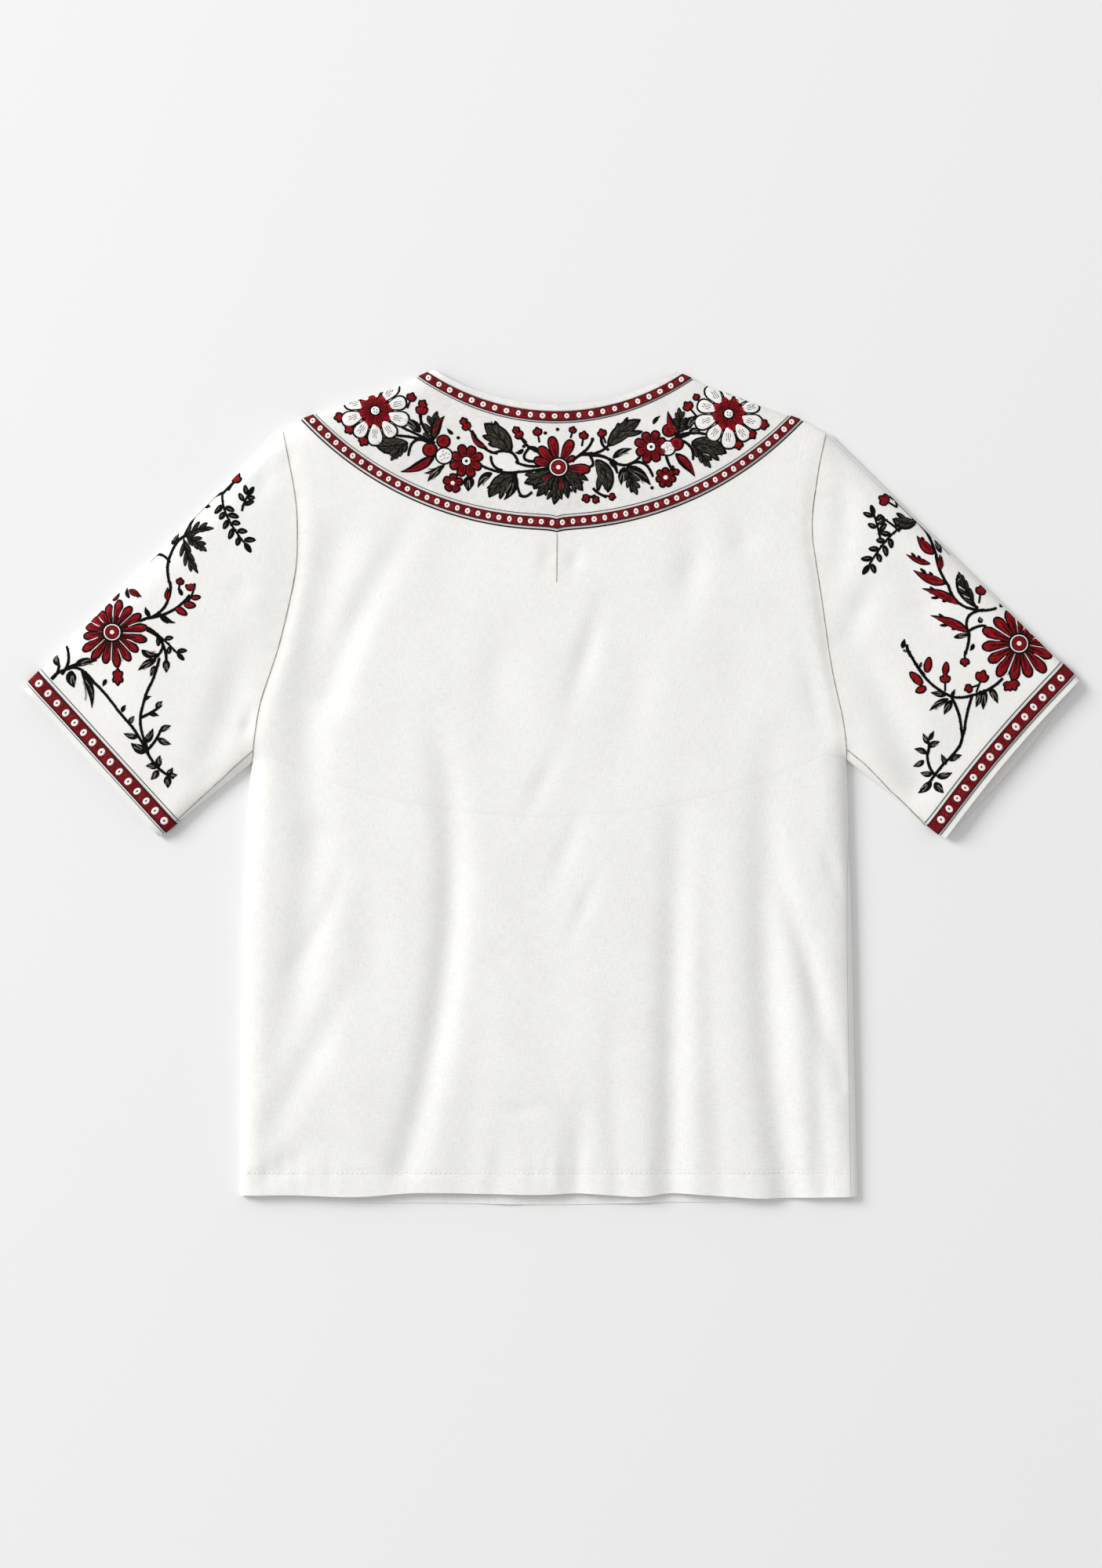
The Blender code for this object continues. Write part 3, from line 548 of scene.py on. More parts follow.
# Distances across a panel: close together at the folded edges, then even
def gradedRun(whole, step, both=True):
    near = [0.0, 0.35, 0.9, 1.7, 2.8, 4.2, 6.0, 8.5]
    last = whole - near[-1] if both else whole
    middle = np.linspace(near[-1], last, max(2, int(round((last - near[-1]) / step)) + 1))[1:]
    if both:
        return np.concatenate([near, middle[:-1], whole - np.array(near[::-1])])
    return np.concatenate([near, middle])


# Borders of the pieces
def sideWrap(stations):
    heights = atLengths(sideCurves["right"], stations * runLengths(sideCurves["right"])[-1])[:, 1]
    return np.interp(heights, [row.rightY for row in sideRows], [row.wrap for row in sideRows])


gridStep = 3.0
sideStations = np.linspace(0.0, 1.0, int(354 / gridStep))
armholeRun = gradedRun(runLengths(armholeCurves["left"])[-1], gridStep)
armholeShares = armholeRun / armholeRun[-1]


def bodyBorder(side, inset=False):
    curve = sideCurves[side]
    rows = atLengths(curve, sideStations * runLengths(curve)[-1])
    if inset:
        wrap = sideWrap(sideStations)
        rows = rows - np.column_stack([wrap + blouse["seamGap"] * (wrap > 0.0), np.zeros(len(rows))])
    arm = armholeCurves[side]
    return np.vstack([rows, atLengths(arm, armholeShares * runLengths(arm)[-1])[1:]])


def hemPoints(xs, layer):
    curve = smoothCurve([(row.x, row.backY if layer == "upper" else row.frontY) for row in hemRows])
    return np.column_stack([xs, np.interp(xs, curve[:, 0], curve[:, 1])])


def yokeSeam(fractions, inside=0.0):
    points = arcPoints(yokeEnds["left"], yokeLow, yokeEnds["right"], fractions)
    points[:, 1] -= trims["yokeNotch"] * np.exp(-np.abs(points[:, 0] - yokeLow[0]) / trims["yokeNotchWidth"])
    centre, radius = arcThrough(yokeEnds["left"], yokeLow, yokeEnds["right"])
    return points + (centre - points) * (inside / radius)


# Part the layers by half a seam gap each along the folded edges that they share
def partAtFolds(outer, inner, plan, layer):
    distance, _ = toFoldedEdge(plan.reshape(-1, 2))
    onEdge = (distance < 0.02).reshape(plan.shape[:-1])
    shift = np.zeros((*plan.shape[:-1], 3))
    shift[..., 2] = np.where(onEdge, blouse["seamGap"] / 2 * (1 if layer == "upper" else -1), 0.0)
    return outer + shift, inner + shift


# Flat area of a plan grid in square metres
def planArea(plan):
    first, second = plan[1:, 1:] - plan[:-1, :-1], plan[1:, :-1] - plan[:-1, 1:]
    cross = first[..., 0] * second[..., 1] - first[..., 1] * second[..., 0]
    return float(np.abs(cross).sum() / 2) * metres ** 2


def makeBackPanel():
    left, right = bodyBorder("left"), bodyBorder("right", inset=True)
    tipRun = gradedRun(16.0, gridStep, both=False)[:-1]
    leftBit = atLengths(shoulderCurves["left"], tipRun)
    rightBit = atLengths(shoulderCurves["right"], tipRun)
    steps = 2 * int(472 / gridStep / 2)
    arc = yokeSeam(np.linspace(0.0, 1.0, steps + 1))
    top = np.vstack([leftBit, arc, rightBit[::-1]])
    innerXs = np.linspace(left[0, 0] + 16.3, right[0, 0] - 16.3, steps + 1)
    xs = np.concatenate([left[0, 0] + tipRun, innerXs, right[0, 0] - tipRun[::-1]])
    bottom = hemPoints(xs, "upper")
    bottom[0], bottom[-1] = left[0], right[0]
    plan = coons(left, right, bottom, top, (xs - xs[0]) / (xs[-1] - xs[0]), shareOfRun(left))
    outer, inner = partAtFolds(*lay(plan, "upper"), plan, "upper")
    return clothGrid("backPanelCloth", outer, inner, uvScale=(505.0, 636.0))


def veeLeg(side, offset, steps):
    neck, vee = np.array(neckEnds[side]), np.array(trims["veePoint"])
    halfAngle = math.atan2(abs(neck[0] - vee[0]), neck[1] - vee[1])
    start = atLengths(shoulderCurves[side], [runLengths(shoulderCurves[side])[-1] - offset])[0]
    end = vee - [0.0, offset / math.sin(halfAngle)]
    t = np.linspace(0.0, 1.0, steps + 1)[:, None]
    return start * (1 - t) + end * t


def makeFrontPanel():
    left, right = bodyBorder("left"), bodyBorder("right")
    offset = trims["bindingWidth"] + blouse["seamGap"]
    halves = {}
    for side in bothSides:
        whole = runLengths(shoulderCurves[side])[-1] - offset
        along = gradedRun(whole, gridStep, both=False)[:-1]
        halves[side] = np.vstack([atLengths(shoulderCurves[side], along), veeLeg(side, offset, 44)])
    top = np.vstack([halves["left"], halves["right"][-2::-1]])
    across = (top[:, 0] - top[0, 0]) / (top[-1, 0] - top[0, 0])
    xs = left[0, 0] + across * (right[0, 0] - left[0, 0])
    bottom = hemPoints(xs, "lower")
    bottom[0], bottom[-1] = left[0], right[0]
    plan = coons(left, right, bottom, top, across, shareOfRun(left))
    outer, inner = partAtFolds(*lay(plan, "lower"), plan, "lower")
    # The right edge carries on round the fold to the side seam on the back
    wrap = np.concatenate([sideWrap(sideStations), np.zeros(len(left) - len(sideStations))])
    inward = np.array([-1.0, 0.0])
    extra = []
    for share in (0.12, 0.3, 0.55, 0.8, 1.0):
        along = plan[:, -1] + inward * (wrap * share)[:, None]
        extra.append(lay(along[:, None], "upper"))
    wrapOuter = np.concatenate([outer] + [pair[0] for pair in extra], axis=1)
    wrapInner = np.concatenate([inner] + [pair[1] for pair in extra], axis=1)
    flat = wrap < 0.05
    count = len(extra)
    for points in (wrapOuter, wrapInner):
        edge, before = points[flat, -count - 1].copy(), points[flat, -count - 2].copy()
        for k in range(count + 1):
            points[flat, -count - 1 + k] = before + (edge - before) * (k + 1) / (count + 1)
    return clothGrid("frontPanelCloth", wrapOuter, wrapInner, uvScale=(505.0, 680.0))


def yokeColumns(step):
    arcLength = runLengths(yokeSeam(np.linspace(0.0, 1.0, 81)))[-1]
    run = gradedRun(arcLength / 2, step, both=False) / arcLength
    return np.concatenate([run, 1.0 - run[-2::-1]])


# Rows of the yoke at distances from its lower seam and from the neck edge
def yokePlan(columns, fromSeam=(), fromNeck=()):
    low = yokeSeam(columns)
    high = arcPoints(neckEnds["left"], neckLow, neckEnds["right"], columns)
    whole = np.linalg.norm(high - low, axis=1)[:, None]
    rows = []
    shares = [distance / whole for distance in fromSeam] + [1.0 - distance / whole for distance in fromNeck]
    for share in shares:
        row = low + (high - low) * share
        for side, end in (("left", 0), ("right", -1)):
            start = runLengths(smoothCurve(sidePoints(shoulderRows[:2], side)))[-1]
            stop = runLengths(shoulderCurves[side])[-1]
            onShoulder = atLengths(shoulderCurves[side], [start + (stop - start) * share[end, 0]])[0]
            fade = 1.0 - smoothStep(np.abs(columns - columns[end]) / 0.125)
            row = row + (onShoulder - row[end]) * fade[:, None]
        rows.append(row)
    return np.array(rows)


def yokeStrip(name, fromSeam, fromNeck, rise, wall, uvScale, step=None):
    plan = yokePlan(yokeColumns(step or gridStep), fromSeam, fromNeck)
    outer, inner = partAtFolds(*lay(plan, "upper", rise, wall), plan, "upper")
    return clothGrid(name, outer, inner, uvScale=uvScale)


def makeYoke():
    seamSide = list(np.arange(0.45, 44.0, gridStep))
    neckSide = list(np.arange(trims["bindingWidth"] + blouse["seamGap"], 58.0, gridStep))[::-1]
    return yokeStrip("backYokeCloth", seamSide, neckSide, 0.0, blouse["cloth"], (460.0, 100.0))


def makeFrontBinding():
    width = trims["bindingWidth"]
    offsets = [width, width * 0.85, width * 0.5, width * 0.15, 0.0]
    plan = np.array([np.vstack([veeLeg("left", offset, 60), veeLeg("right", offset, 60)[-2::-1]])
                     for offset in offsets])
    outer, inner = partAtFolds(*lay(plan, "lower", 0.0, trims["bindingWall"]), plan, "lower")
    return clothGrid("neckBindingFrontCloth", outer, inner, uvScale=(430.0, 5.0))


# Plan grid of one layer of a sleeve: rows from the armhole to the cuff, columns from top to bottom
def sleevePlan(side, layer, fromCuff=None):
    cuff = cuffs[side]
    arm = armholeCurves[side]
    start = atLengths(arm, armholeShares * runLengths(arm)[-1])[::-1]
    along = np.gradient(start, axis=0)
    square = np.column_stack([along[:, 1], -along[:, 0]]) / np.linalg.norm(along, axis=1)[:, None]
    start = start + square * np.sign(square[:, :1] * cuff.topX) * blouse["seamGap"]
    down = shareOfRun(start)
    top, low = cuffCorner(side, "top"), cuffCorner(side, "low")
    bow = cuff.bowUpper if layer == "upper" else cuff.bowLower
    end = top + (low - top) * down[:, None] + cuffInward(side) * (bow * np.sin(np.pi * down))[:, None]
    whole = np.linalg.norm(end - start, axis=1)[:, None]
    if fromCuff is not None:
        return np.array([end + (start - end) * (distance / whole) for distance in fromCuff])
    nearCuff = trims["cuffRibbon"][1] + 8.0
    shares = np.linspace(0.0, 1.0, int(200 / gridStep))
    rows = [start + (end - start) * (share * (1.0 - nearCuff / whole)) for share in shares]
    rows += [end + (start - end) * (distance / whole) for distance in np.linspace(nearCuff, 0.0, 10)[1:]]
    return np.array(rows)


# Rings round a sleeve: across the upper layer, back along the lower one, and the first point again
def closedRings(side, upper, lower):
    rings = []
    for up, down in zip(upper, lower):
        ring = np.concatenate([up, down[:, -2:0:-1], up[:, :1]], axis=1)
        rings.append(ring if side == "left" else ring[:, ::-1])
    return rings


def sleeveRing(side, fromCuff=None, rise=0.0, wall=None):
    upper = lay(sleevePlan(side, "upper", fromCuff), "upper", rise, wall)
    lower = lay(sleevePlan(side, "lower", fromCuff), "lower", rise, wall)
    return closedRings(side, upper, lower)


def makeSleeve(side):
    outer, inner = sleeveRing(side)
    2 * planArea(sleevePlan(side, "upper"))
    name = "sleeve" + side.capitalize() + "Cloth"
    return clothGrid(name, outer, inner, closed=True, uvScale=(500.0, 300.0))


def makeCuffRibbon(side):
    low, high = trims["cuffRibbon"]
    rows = np.linspace(high, low, 7)
    wall = trims["ribbonWall"]
    outer, inner = sleeveRing(side, rows, blouse["seamGap"] + wall, wall)
    2 * planArea(sleevePlan(side, "upper", rows))
    name = "cuffRibbon" + side.capitalize() + "Weave"
    return clothGrid(name, outer, inner, closed=True, uvScale=(340.0, high - low))


# Materials
def newMaterial(name, roughness, specular=0.5):
    material = bpy.data.materials.new(name)
    material.use_nodes = True
    shader = material.node_tree.nodes["Principled BSDF"]
    shader.inputs["Roughness"].default_value = roughness
    shader.inputs["Specular IOR Level"].default_value = specular
    return material, shader, material.node_tree.nodes, material.node_tree.links


def addNode(nodes, kind, **values):
    node = nodes.new(kind)
    for key, value in values.items():
        if key in node.inputs:
            node.inputs[key].default_value = value
        else:
            setattr(node, key, value)
    return node


def addRamp(nodes, dark, light, low, high):
    ramp = addNode(nodes, "ShaderNodeValToRGB")
    first, last = ramp.color_ramp.elements
    first.position, last.position = low, high
    first.color, last.color = (*dark, 1.0), (*light, 1.0)
    return ramp


# Two colours mixed by a noise
def noiseTone(nodes, links, vector, finish, low, high, **noise):
    pattern = addNode(nodes, "ShaderNodeTexNoise", **noise)
    links.new(vector, pattern.inputs["Vector"])
    ramp = addRamp(nodes, finish["dark"], finish["light"], low, high)
    links.new(pattern.outputs["Fac"], ramp.inputs["Fac"])
    return ramp.outputs["Color"]


def addBump(nodes, links, height, shader, strength, distance):
    bump = addNode(nodes, "ShaderNodeBump", Strength=strength, Distance=distance)
    links.new(height, bump.inputs["Height"])
    links.new(bump.outputs["Normal"], shader.inputs["Normal"])


def stretched(nodes, links, vector, scale):
    turn = addNode(nodes, "ShaderNodeMapping")
    turn.inputs["Scale"].default_value = scale
    links.new(vector, turn.inputs["Vector"])
    return turn.outputs["Vector"]


# Plain weave in the piece's own flat coordinates, with slubs and a soft mottle
def clothMaterial(name, finish):
    material, shader, nodes, links = newMaterial(name, finish["roughness"], 0.3)
    shader.inputs["Sheen Weight"].default_value = finish["sheen"]
    shader.inputs["Sheen Roughness"].default_value = 0.5
    where = addNode(nodes, "ShaderNodeUVMap", uv_map="weave").outputs["UV"]
    place = addNode(nodes, "ShaderNodeTexCoord").outputs["Object"]
    tone = noiseTone(nodes, links, place, finish, 0.3, 0.62, Scale=38.0, Detail=4.0, Roughness=0.6)

    weave = addNode(nodes, "ShaderNodeMix", data_type="FLOAT")
    weave.inputs[0].default_value = 0.5
    for socket, scale in ((2, (1.0, 0.09, 1.0)), (3, (0.09, 1.0, 1.0))):
        thread = addNode(nodes, "ShaderNodeTexNoise", Scale=finish["threadScale"], Detail=2.0, Roughness=0.5)
        links.new(stretched(nodes, links, where, scale), thread.inputs["Vector"])
        links.new(thread.outputs["Fac"], weave.inputs[socket])

    speckle = addNode(nodes, "ShaderNodeMix", data_type="RGBA", blend_type="MULTIPLY")
    speckle.inputs[0].default_value = finish["speckle"]
    shade = addRamp(nodes, (0.72, 0.71, 0.69), (1.0, 1.0, 1.0), 0.36, 0.55)
    links.new(weave.outputs[0], shade.inputs["Fac"])
    links.new(tone, speckle.inputs[6])
    links.new(shade.outputs["Color"], speckle.inputs[7])
    links.new(speckle.outputs[2], shader.inputs["Base Color"])
    addBump(nodes, links, weave.outputs[0], shader, finish["bump"], 0.0006)
    return material


# Woven ribbon: dark selvedges, flecked middle, fine ribs across
def ribbonMaterial(name, finish):
    material, shader, nodes, links = newMaterial(name, 0.7, 0.12)
    where = addNode(nodes, "ShaderNodeUVMap", uv_map="weave").outputs["UV"]
    place = addNode(nodes, "ShaderNodeTexCoord").outputs["Object"]
    split = addNode(nodes, "ShaderNodeSeparateXYZ")
    links.new(where, split.inputs["Vector"])
    across = addNode(nodes, "ShaderNodeMapRange")
    across.inputs["From Max"].default_value = finish["width"] * metres
    links.new(split.outputs["Y"], across.inputs["Value"])
    selvedge = addRamp(nodes, finish["selvedge"], (1.0, 1.0, 1.0), 0.05, 0.13)
    for position, colour in ((0.87, (1.0, 1.0, 1.0)), (0.95, finish["selvedge"])):
        selvedge.color_ramp.elements.new(position).color = (*colour, 1.0)
    links.new(across.outputs["Result"], selvedge.inputs["Fac"])
    tone = noiseTone(nodes, links, place, finish, 0.36, 0.66, Scale=900.0, Detail=3.0, Roughness=0.7)
    both = addNode(nodes, "ShaderNodeMix", data_type="RGBA", blend_type="MULTIPLY")
    both.inputs[0].default_value = 1.0
    links.new(tone, both.inputs[6])
    links.new(selvedge.outputs["Color"], both.inputs[7])
    links.new(both.outputs[2], shader.inputs["Base Color"])
    ribs = addNode(nodes, "ShaderNodeTexWave", Scale=260.0, Distortion=1.5, Detail=1.0)
    links.new(where, ribs.inputs["Vector"])
    addBump(nodes, links, ribs.outputs["Color"], shader, 0.5, 0.0003)
    return material


clothFinish = {
    "dark": (0.868, 0.860, 0.834),
    "light": (0.895, 0.889, 0.866),
    "roughness": 0.85,
    "sheen": 0.05,
    "threadScale": 1500.0,
    "bump": 0.55,
    "speckle": 0.32,
}
yokeFinish = {**clothFinish, "dark": (0.78, 0.77, 0.745), "light": (0.85, 0.84, 0.82), "roughness": 0.88,
              "threadScale": 1300.0, "speckle": 0.5}
bindingFinish = {**yokeFinish, "dark": (0.80, 0.79, 0.77), "light": (0.88, 0.87, 0.85), "roughness": 0.85}
ribbonFinish = {"dark": (0.085, 0.002, 0.004), "light": (0.25, 0.006, 0.010), "selvedge": (0.08, 0.006, 0.01)}

bodyCloth = clothMaterial("bodyCotton", clothFinish)
yokeMat = clothMaterial("yokeCotton", yokeFinish)
bindingMat = clothMaterial("bindingCotton", bindingFinish)
ribbonMats = {width: ribbonMaterial("ribbon" + str(int(width)) + "mm", {**ribbonFinish, "width": width})
              for width in (8.0, 12.0)}


def finishPiece(piece, material, slot, *replaced):
    piece.data.materials.clear()
    piece.data.materials.append(material)
    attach(piece, "root")
    if replaced:
        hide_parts(*replaced)
    return piece


backPanel = finishPiece(makeBackPanel(), bodyCloth, "body_cloth", "back_panel")
print("back panel laid")
frontPanel = finishPiece(makeFrontPanel(), bodyCloth, "body_cloth", "front_panel")
print("front panel laid")
backYoke = finishPiece(makeYoke(), yokeMat, "yoke_cloth", "back_yoke")
width = trims["bindingWidth"]
neckBinding = finishPiece(
    yokeStrip("neckBindingBackCloth", (), (width, width * 0.8, width * 0.5, width * 0.2, 0.0), 0.35,
              trims["bindingWall"], (205.0, 5.0)), bindingMat, "binding", "neck_binding_back")
frontBinding = finishPiece(makeFrontBinding(), bindingMat, "binding", "neck_binding_front")
ribbonRise = blouse["seamGap"] + trims["ribbonWall"]
neckRibbon = finishPiece(
    yokeStrip("neckRibbonWeave", (), np.linspace(13.6, 5.6, 6), ribbonRise, trims["ribbonWall"],
              (215.0, 8.0)),
    ribbonMats[8.0], "ribbon", "neck_ribbon")
yokeRibbon = finishPiece(
    yokeStrip("yokeRibbonWeave", np.linspace(2.8, 11.0, 6), (), ribbonRise, trims["ribbonWall"],
              (461.0, 8.0)),
    ribbonMats[8.0], "ribbon", "yoke_ribbon")
print("yoke and its trims laid")
sleeves, cuffRibbons = {}, {}
for side in bothSides:
    sleeves[side] = finishPiece(makeSleeve(side), bodyCloth, "body_cloth", "sleeve_" + side)
    cuffRibbons[side] = finishPiece(makeCuffRibbon(side), ribbonMats[12.0], "ribbon", "cuff_ribbon_" + side)
print("sleeves laid")

# Embroidery: every leaf, petal, berry and stem is a low pad of thread on the cloth
threads = {
    "outlineWidth": 1.5,
    "stemBoldness": 1.5,
    "layers": {           # height of a pad's widest part, and of its crown
        "outline": (0.14, 0.42),
        "fill": (0.30, 0.64),
        "over": (0.56, 0.78),
        "crown": (0.68, 0.92),
        "top": (0.82, 1.04),
        "peak": (0.95, 1.12),
        "tip": (1.04, 1.20),
    },
    "under": 0.30,        # how far each pad reaches into the cloth
    "edgeMargin": 0.9,    # pads stop this far inside a folded edge
    "knotPitch": 6.0,     # along a bold stem
    "veinWidth": 0.6,
    "sprigGrowth": 1.35,
    "segments": 10,
    "tinyRings": 5,
    "shortRings": 9,
    "longRings": 20,
}
# Width along a pad from its base to its tip
profiles = {
    "petal": ((0.0, 0.12, 0.35, 0.62, 0.82, 0.94, 1.0), (0.30, 0.48, 0.78, 1.0, 0.92, 0.62, 0.30)),
    "slim": ((0.0, 0.15, 0.45, 0.75, 0.92, 1.0), (0.25, 0.42, 0.75, 1.0, 0.72, 0.30)),
    "leaf": ((0.0, 0.10, 0.30, 0.55, 0.80, 1.0), (0.15, 0.55, 1.0, 0.92, 0.45, 0.05)),
    "blade": ((0.0, 0.1, 0.3, 0.5, 0.7, 0.88, 1.0), (0.12, 0.52, 0.92, 1.0, 0.84, 0.48, 0.06)),
    "lobe": ((0.0, 0.15, 0.4, 0.65, 0.85, 1.0), (0.55, 0.78, 1.0, 0.96, 0.66, 0.12)),
    "stem": ((0.0, 0.06, 0.5, 0.94, 1.0), (0.9, 1.0, 0.96, 0.88, 0.75)),
    "bud": ((0.0, 0.15, 0.4, 0.7, 0.9, 1.0), (0.35, 0.75, 1.0, 0.85, 0.5, 0.15)),
}
Stitch = namedtuple("Stitch", "start middle end halfWidth profile rise top rings")
stitches = {}


def addStitch(area, thread, start, end, width, profile, bend=0.0, layer="fill", rings="shortRings",
              middle=None):
    start, end = np.array(start, dtype=float), np.array(end, dtype=float)
    if middle is None:
        middle = bentMiddle(start, end, bend)
    rise, top = threads["layers"][layer]
    row = Stitch(start, np.array(middle, dtype=float), end, width / 2, profile, rise, top, rings)
    stitches.setdefault((area, thread), []).append(row)


def bentMiddle(start, end, bend):
    along = end - start
    return (start + end) / 2 + np.array([-along[1], along[0]]) * bend


def alongStitch(row, t):
    t = t[:, None]
    point = row.start * (1 - t) * (1 - 2 * t) + row.middle * 4 * t * (1 - t) + row.end * t * (2 * t - 1)
    slope = row.start * (4 * t - 3) + row.middle * (4 - 8 * t) + row.end * (4 * t - 1)
    side = np.column_stack([-slope[:, 1], slope[:, 0]])
    return point, side / np.maximum(np.linalg.norm(side, axis=1), 1e-9)[:, None]


# Pull in what would hang over a folded edge
def keepInside(plan):
    _, index, _, nearest = nearestOn(topStarts, topEnds, plan)
    along = topEnds[index] - topStarts[index]
    square = np.column_stack([-along[:, 1], along[:, 0]]) / np.linalg.norm(along, axis=1)[:, None]
    square *= -np.sign(nearest[:, :1])
    inside = ((nearest - plan) * square).sum(1)
    return plan - square * np.maximum(threads["edgeMargin"] - inside, 0.0)[:, None]


# The pad that every stitch is a copy of: a sphere whose poles become the base and the tip
def padForm(rings):
    deselectAll()
    bpy.ops.mesh.primitive_uv_sphere_add(segments=threads["segments"], ring_count=threads[rings], radius=1.0)
    form = bpy.context.object
    form.data.uv_layers[0].name = "thread"
    points = np.empty(len(form.data.vertices) * 3)
    form.data.vertices.foreach_get("co", points)
    points = points.reshape(-1, 3)
    radius = np.hypot(points[:, 0], points[:, 1])
    along = (points[:, 2] + 1.0) / 2.0
    safe = np.maximum(radius, 1e-6)
    return form, along, points[:, 0] / safe, points[:, 1] / safe, radius


# All the pads of one thread on one area, joined
def makeStitches(area, thread, material, slot):
    rows = stitches[(area, thread)]
    planPoints, rises, pieces, spans = [], [], [], []
    for rings in sorted({row.rings for row in rows}):
        form, along, across, up, radius = padForm(rings)
        corner = np.empty(len(form.data.loops), dtype=int)
        form.data.loops.foreach_get("vertex_index", corner)
        for row in (one for one in rows if one.rings == rings):
            point, side = alongStitch(row, along)
            shape = radius if row.profile == "round" else np.interp(along, *profiles[row.profile])
            shape = np.where(radius < 1e-4, 0.0, shape)
            plan = point + side * (across * shape * row.halfWidth)[:, None]
            tall = np.where(up > 0.0, row.top - row.rise, row.rise + threads["under"])
            rises.append(row.rise + np.clip(1.6 * up, -1.0, 1.0) * tall * np.minimum(1.0, 2.0 * radius))
            planPoints.append(plan)
            pad = form.copy()
            pad.data = form.data.copy()
            bpy.context.collection.objects.link(pad)
            length = np.linalg.norm(row.middle - row.start) + np.linalg.norm(row.end - row.middle)
            shift = 3.1 * len(pieces)
            uv = np.column_stack([across * shape * row.halfWidth + shift,
                                  along * length + 1.7 * shift]) * metres
            pad.data.uv_layers["thread"].data.foreach_set("uv", uv[corner].ravel())
            pieces.append(pad)
            spans.append(len(plan))
        bpy.data.objects.remove(form)
    plan = keepInside(np.vstack(planPoints))
    height, normal = upperSurface(plan)
    points = toWorld(np.column_stack([plan, height]) + normal * np.concatenate(rises)[:, None])
    first = 0
    for pad, count in zip(pieces, spans):
        pad.data.vertices.foreach_set("co", points[first:first + count].ravel())
        pad.data.update()
        first += count
    makeActive(pieces[0])
    for pad in pieces:
        pad.select_set(True)
    bpy.ops.object.join()
    piece = bpy.context.object
    piece.name = area + thread.capitalize() + "Stitches"
    bpy.ops.object.shade_smooth_by_angle(angle=math.radians(50))
    return finishPiece(piece, material, slot)


# Black thread that shows round a pad
def darkPad(area, start, end, width, profile, bend=0.0, rings="shortRings"):
    addStitch(area, "black", start, end, width, profile, bend, "outline", rings)


# A fine stroke over the fills
def stroke(area, thread, start, end, width, bend=0.0, rings="tinyRings"):
    addStitch(area, thread, start, end, width, "stem", bend, "over", rings)


# A coloured pad with a black edge
def outlined(area, thread, start, end, width, profile, bend=0.0, rings="shortRings"):
    start, end = np.array(start, dtype=float), np.array(end, dtype=float)
    along = (end - start) / max(np.linalg.norm(end - start), 1e-6)
    edge = threads["outlineWidth"]
    darkPad(area, start - along * edge * 0.6, end + along * edge, width + 2 * edge, profile, bend, rings)
    addStitch(area, thread, start, end, width, profile, bend, "fill", rings)


def disc(area, thread, x, y, radius, layer="fill"):
    addStitch(area, thread, (x - radius, y), (x + radius, y), 2 * radius, "round", 0.0, layer)


def polar(x, y, angle, distance):
    turn = math.radians(angle)
    return x + distance * math.cos(turn), y + distance * math.sin(turn)


# End point of a lobe beside the line from start to end
def turned(start, end, angle, share):
    dx, dy = end[0] - start[0], end[1] - start[1]
    turn = math.radians(angle)
    return (start[0] + share * (dx * math.cos(turn) - dy * math.sin(turn)),
            start[1] + share * (dx * math.sin(turn) + dy * math.cos(turn)))


# A curve that is only followed, not sewn
def guideLine(start, middle, end):
    return Stitch(start, middle, end, 0.5, "stem", 0.0, 0.3, "longRings")


# A stem through every second point, with small knots where it is bold
def stem(area, *points, width=1.0, thread="black", bold=True):
    if bold:
        width *= threads["stemBoldness"]
    for start, middle, end in zip(points[0::2], points[1::2], points[2::2]):
        start, middle, end = (np.array(point, dtype=float) for point in (start, middle, end))
        start = start + (start - middle) / np.linalg.norm(start - middle) * width * 0.6
        end = end + (end - middle) / np.linalg.norm(end - middle) * width * 0.6
        addStitch(area, thread, start, end, width, "stem", layer="outline", rings="longRings", middle=middle)
        long = math.dist(start, middle) + math.dist(middle, end)
        if not bold or width < 2.0 or long < 2 * threads["knotPitch"]:
            continue
        places, sides = alongStitch(stitches[(area, thread)][-1],
                                    np.linspace(0.2, 0.85, int(long / threads["knotPitch"])))
        for k, (place, across) in enumerate(zip(places, sides)):
            out = across * (-1) ** k
            ahead = np.array([across[1], -across[0]])
            darkPad(area, place - out * 0.4, place + out * 1.5 + ahead * 1.3, 1.5, "bud", 0.0, "tinyRings")


# Where each lobe leaves the midrib, its angle and its length, as shares of the leaf
leafLobes = [(0.06, 46, 0.36), (0.12, -42, 0.38), (0.28, 42, 0.40), (0.36, -40, 0.38), (0.52, 34, 0.34),
             (0.60, -33, 0.30)]


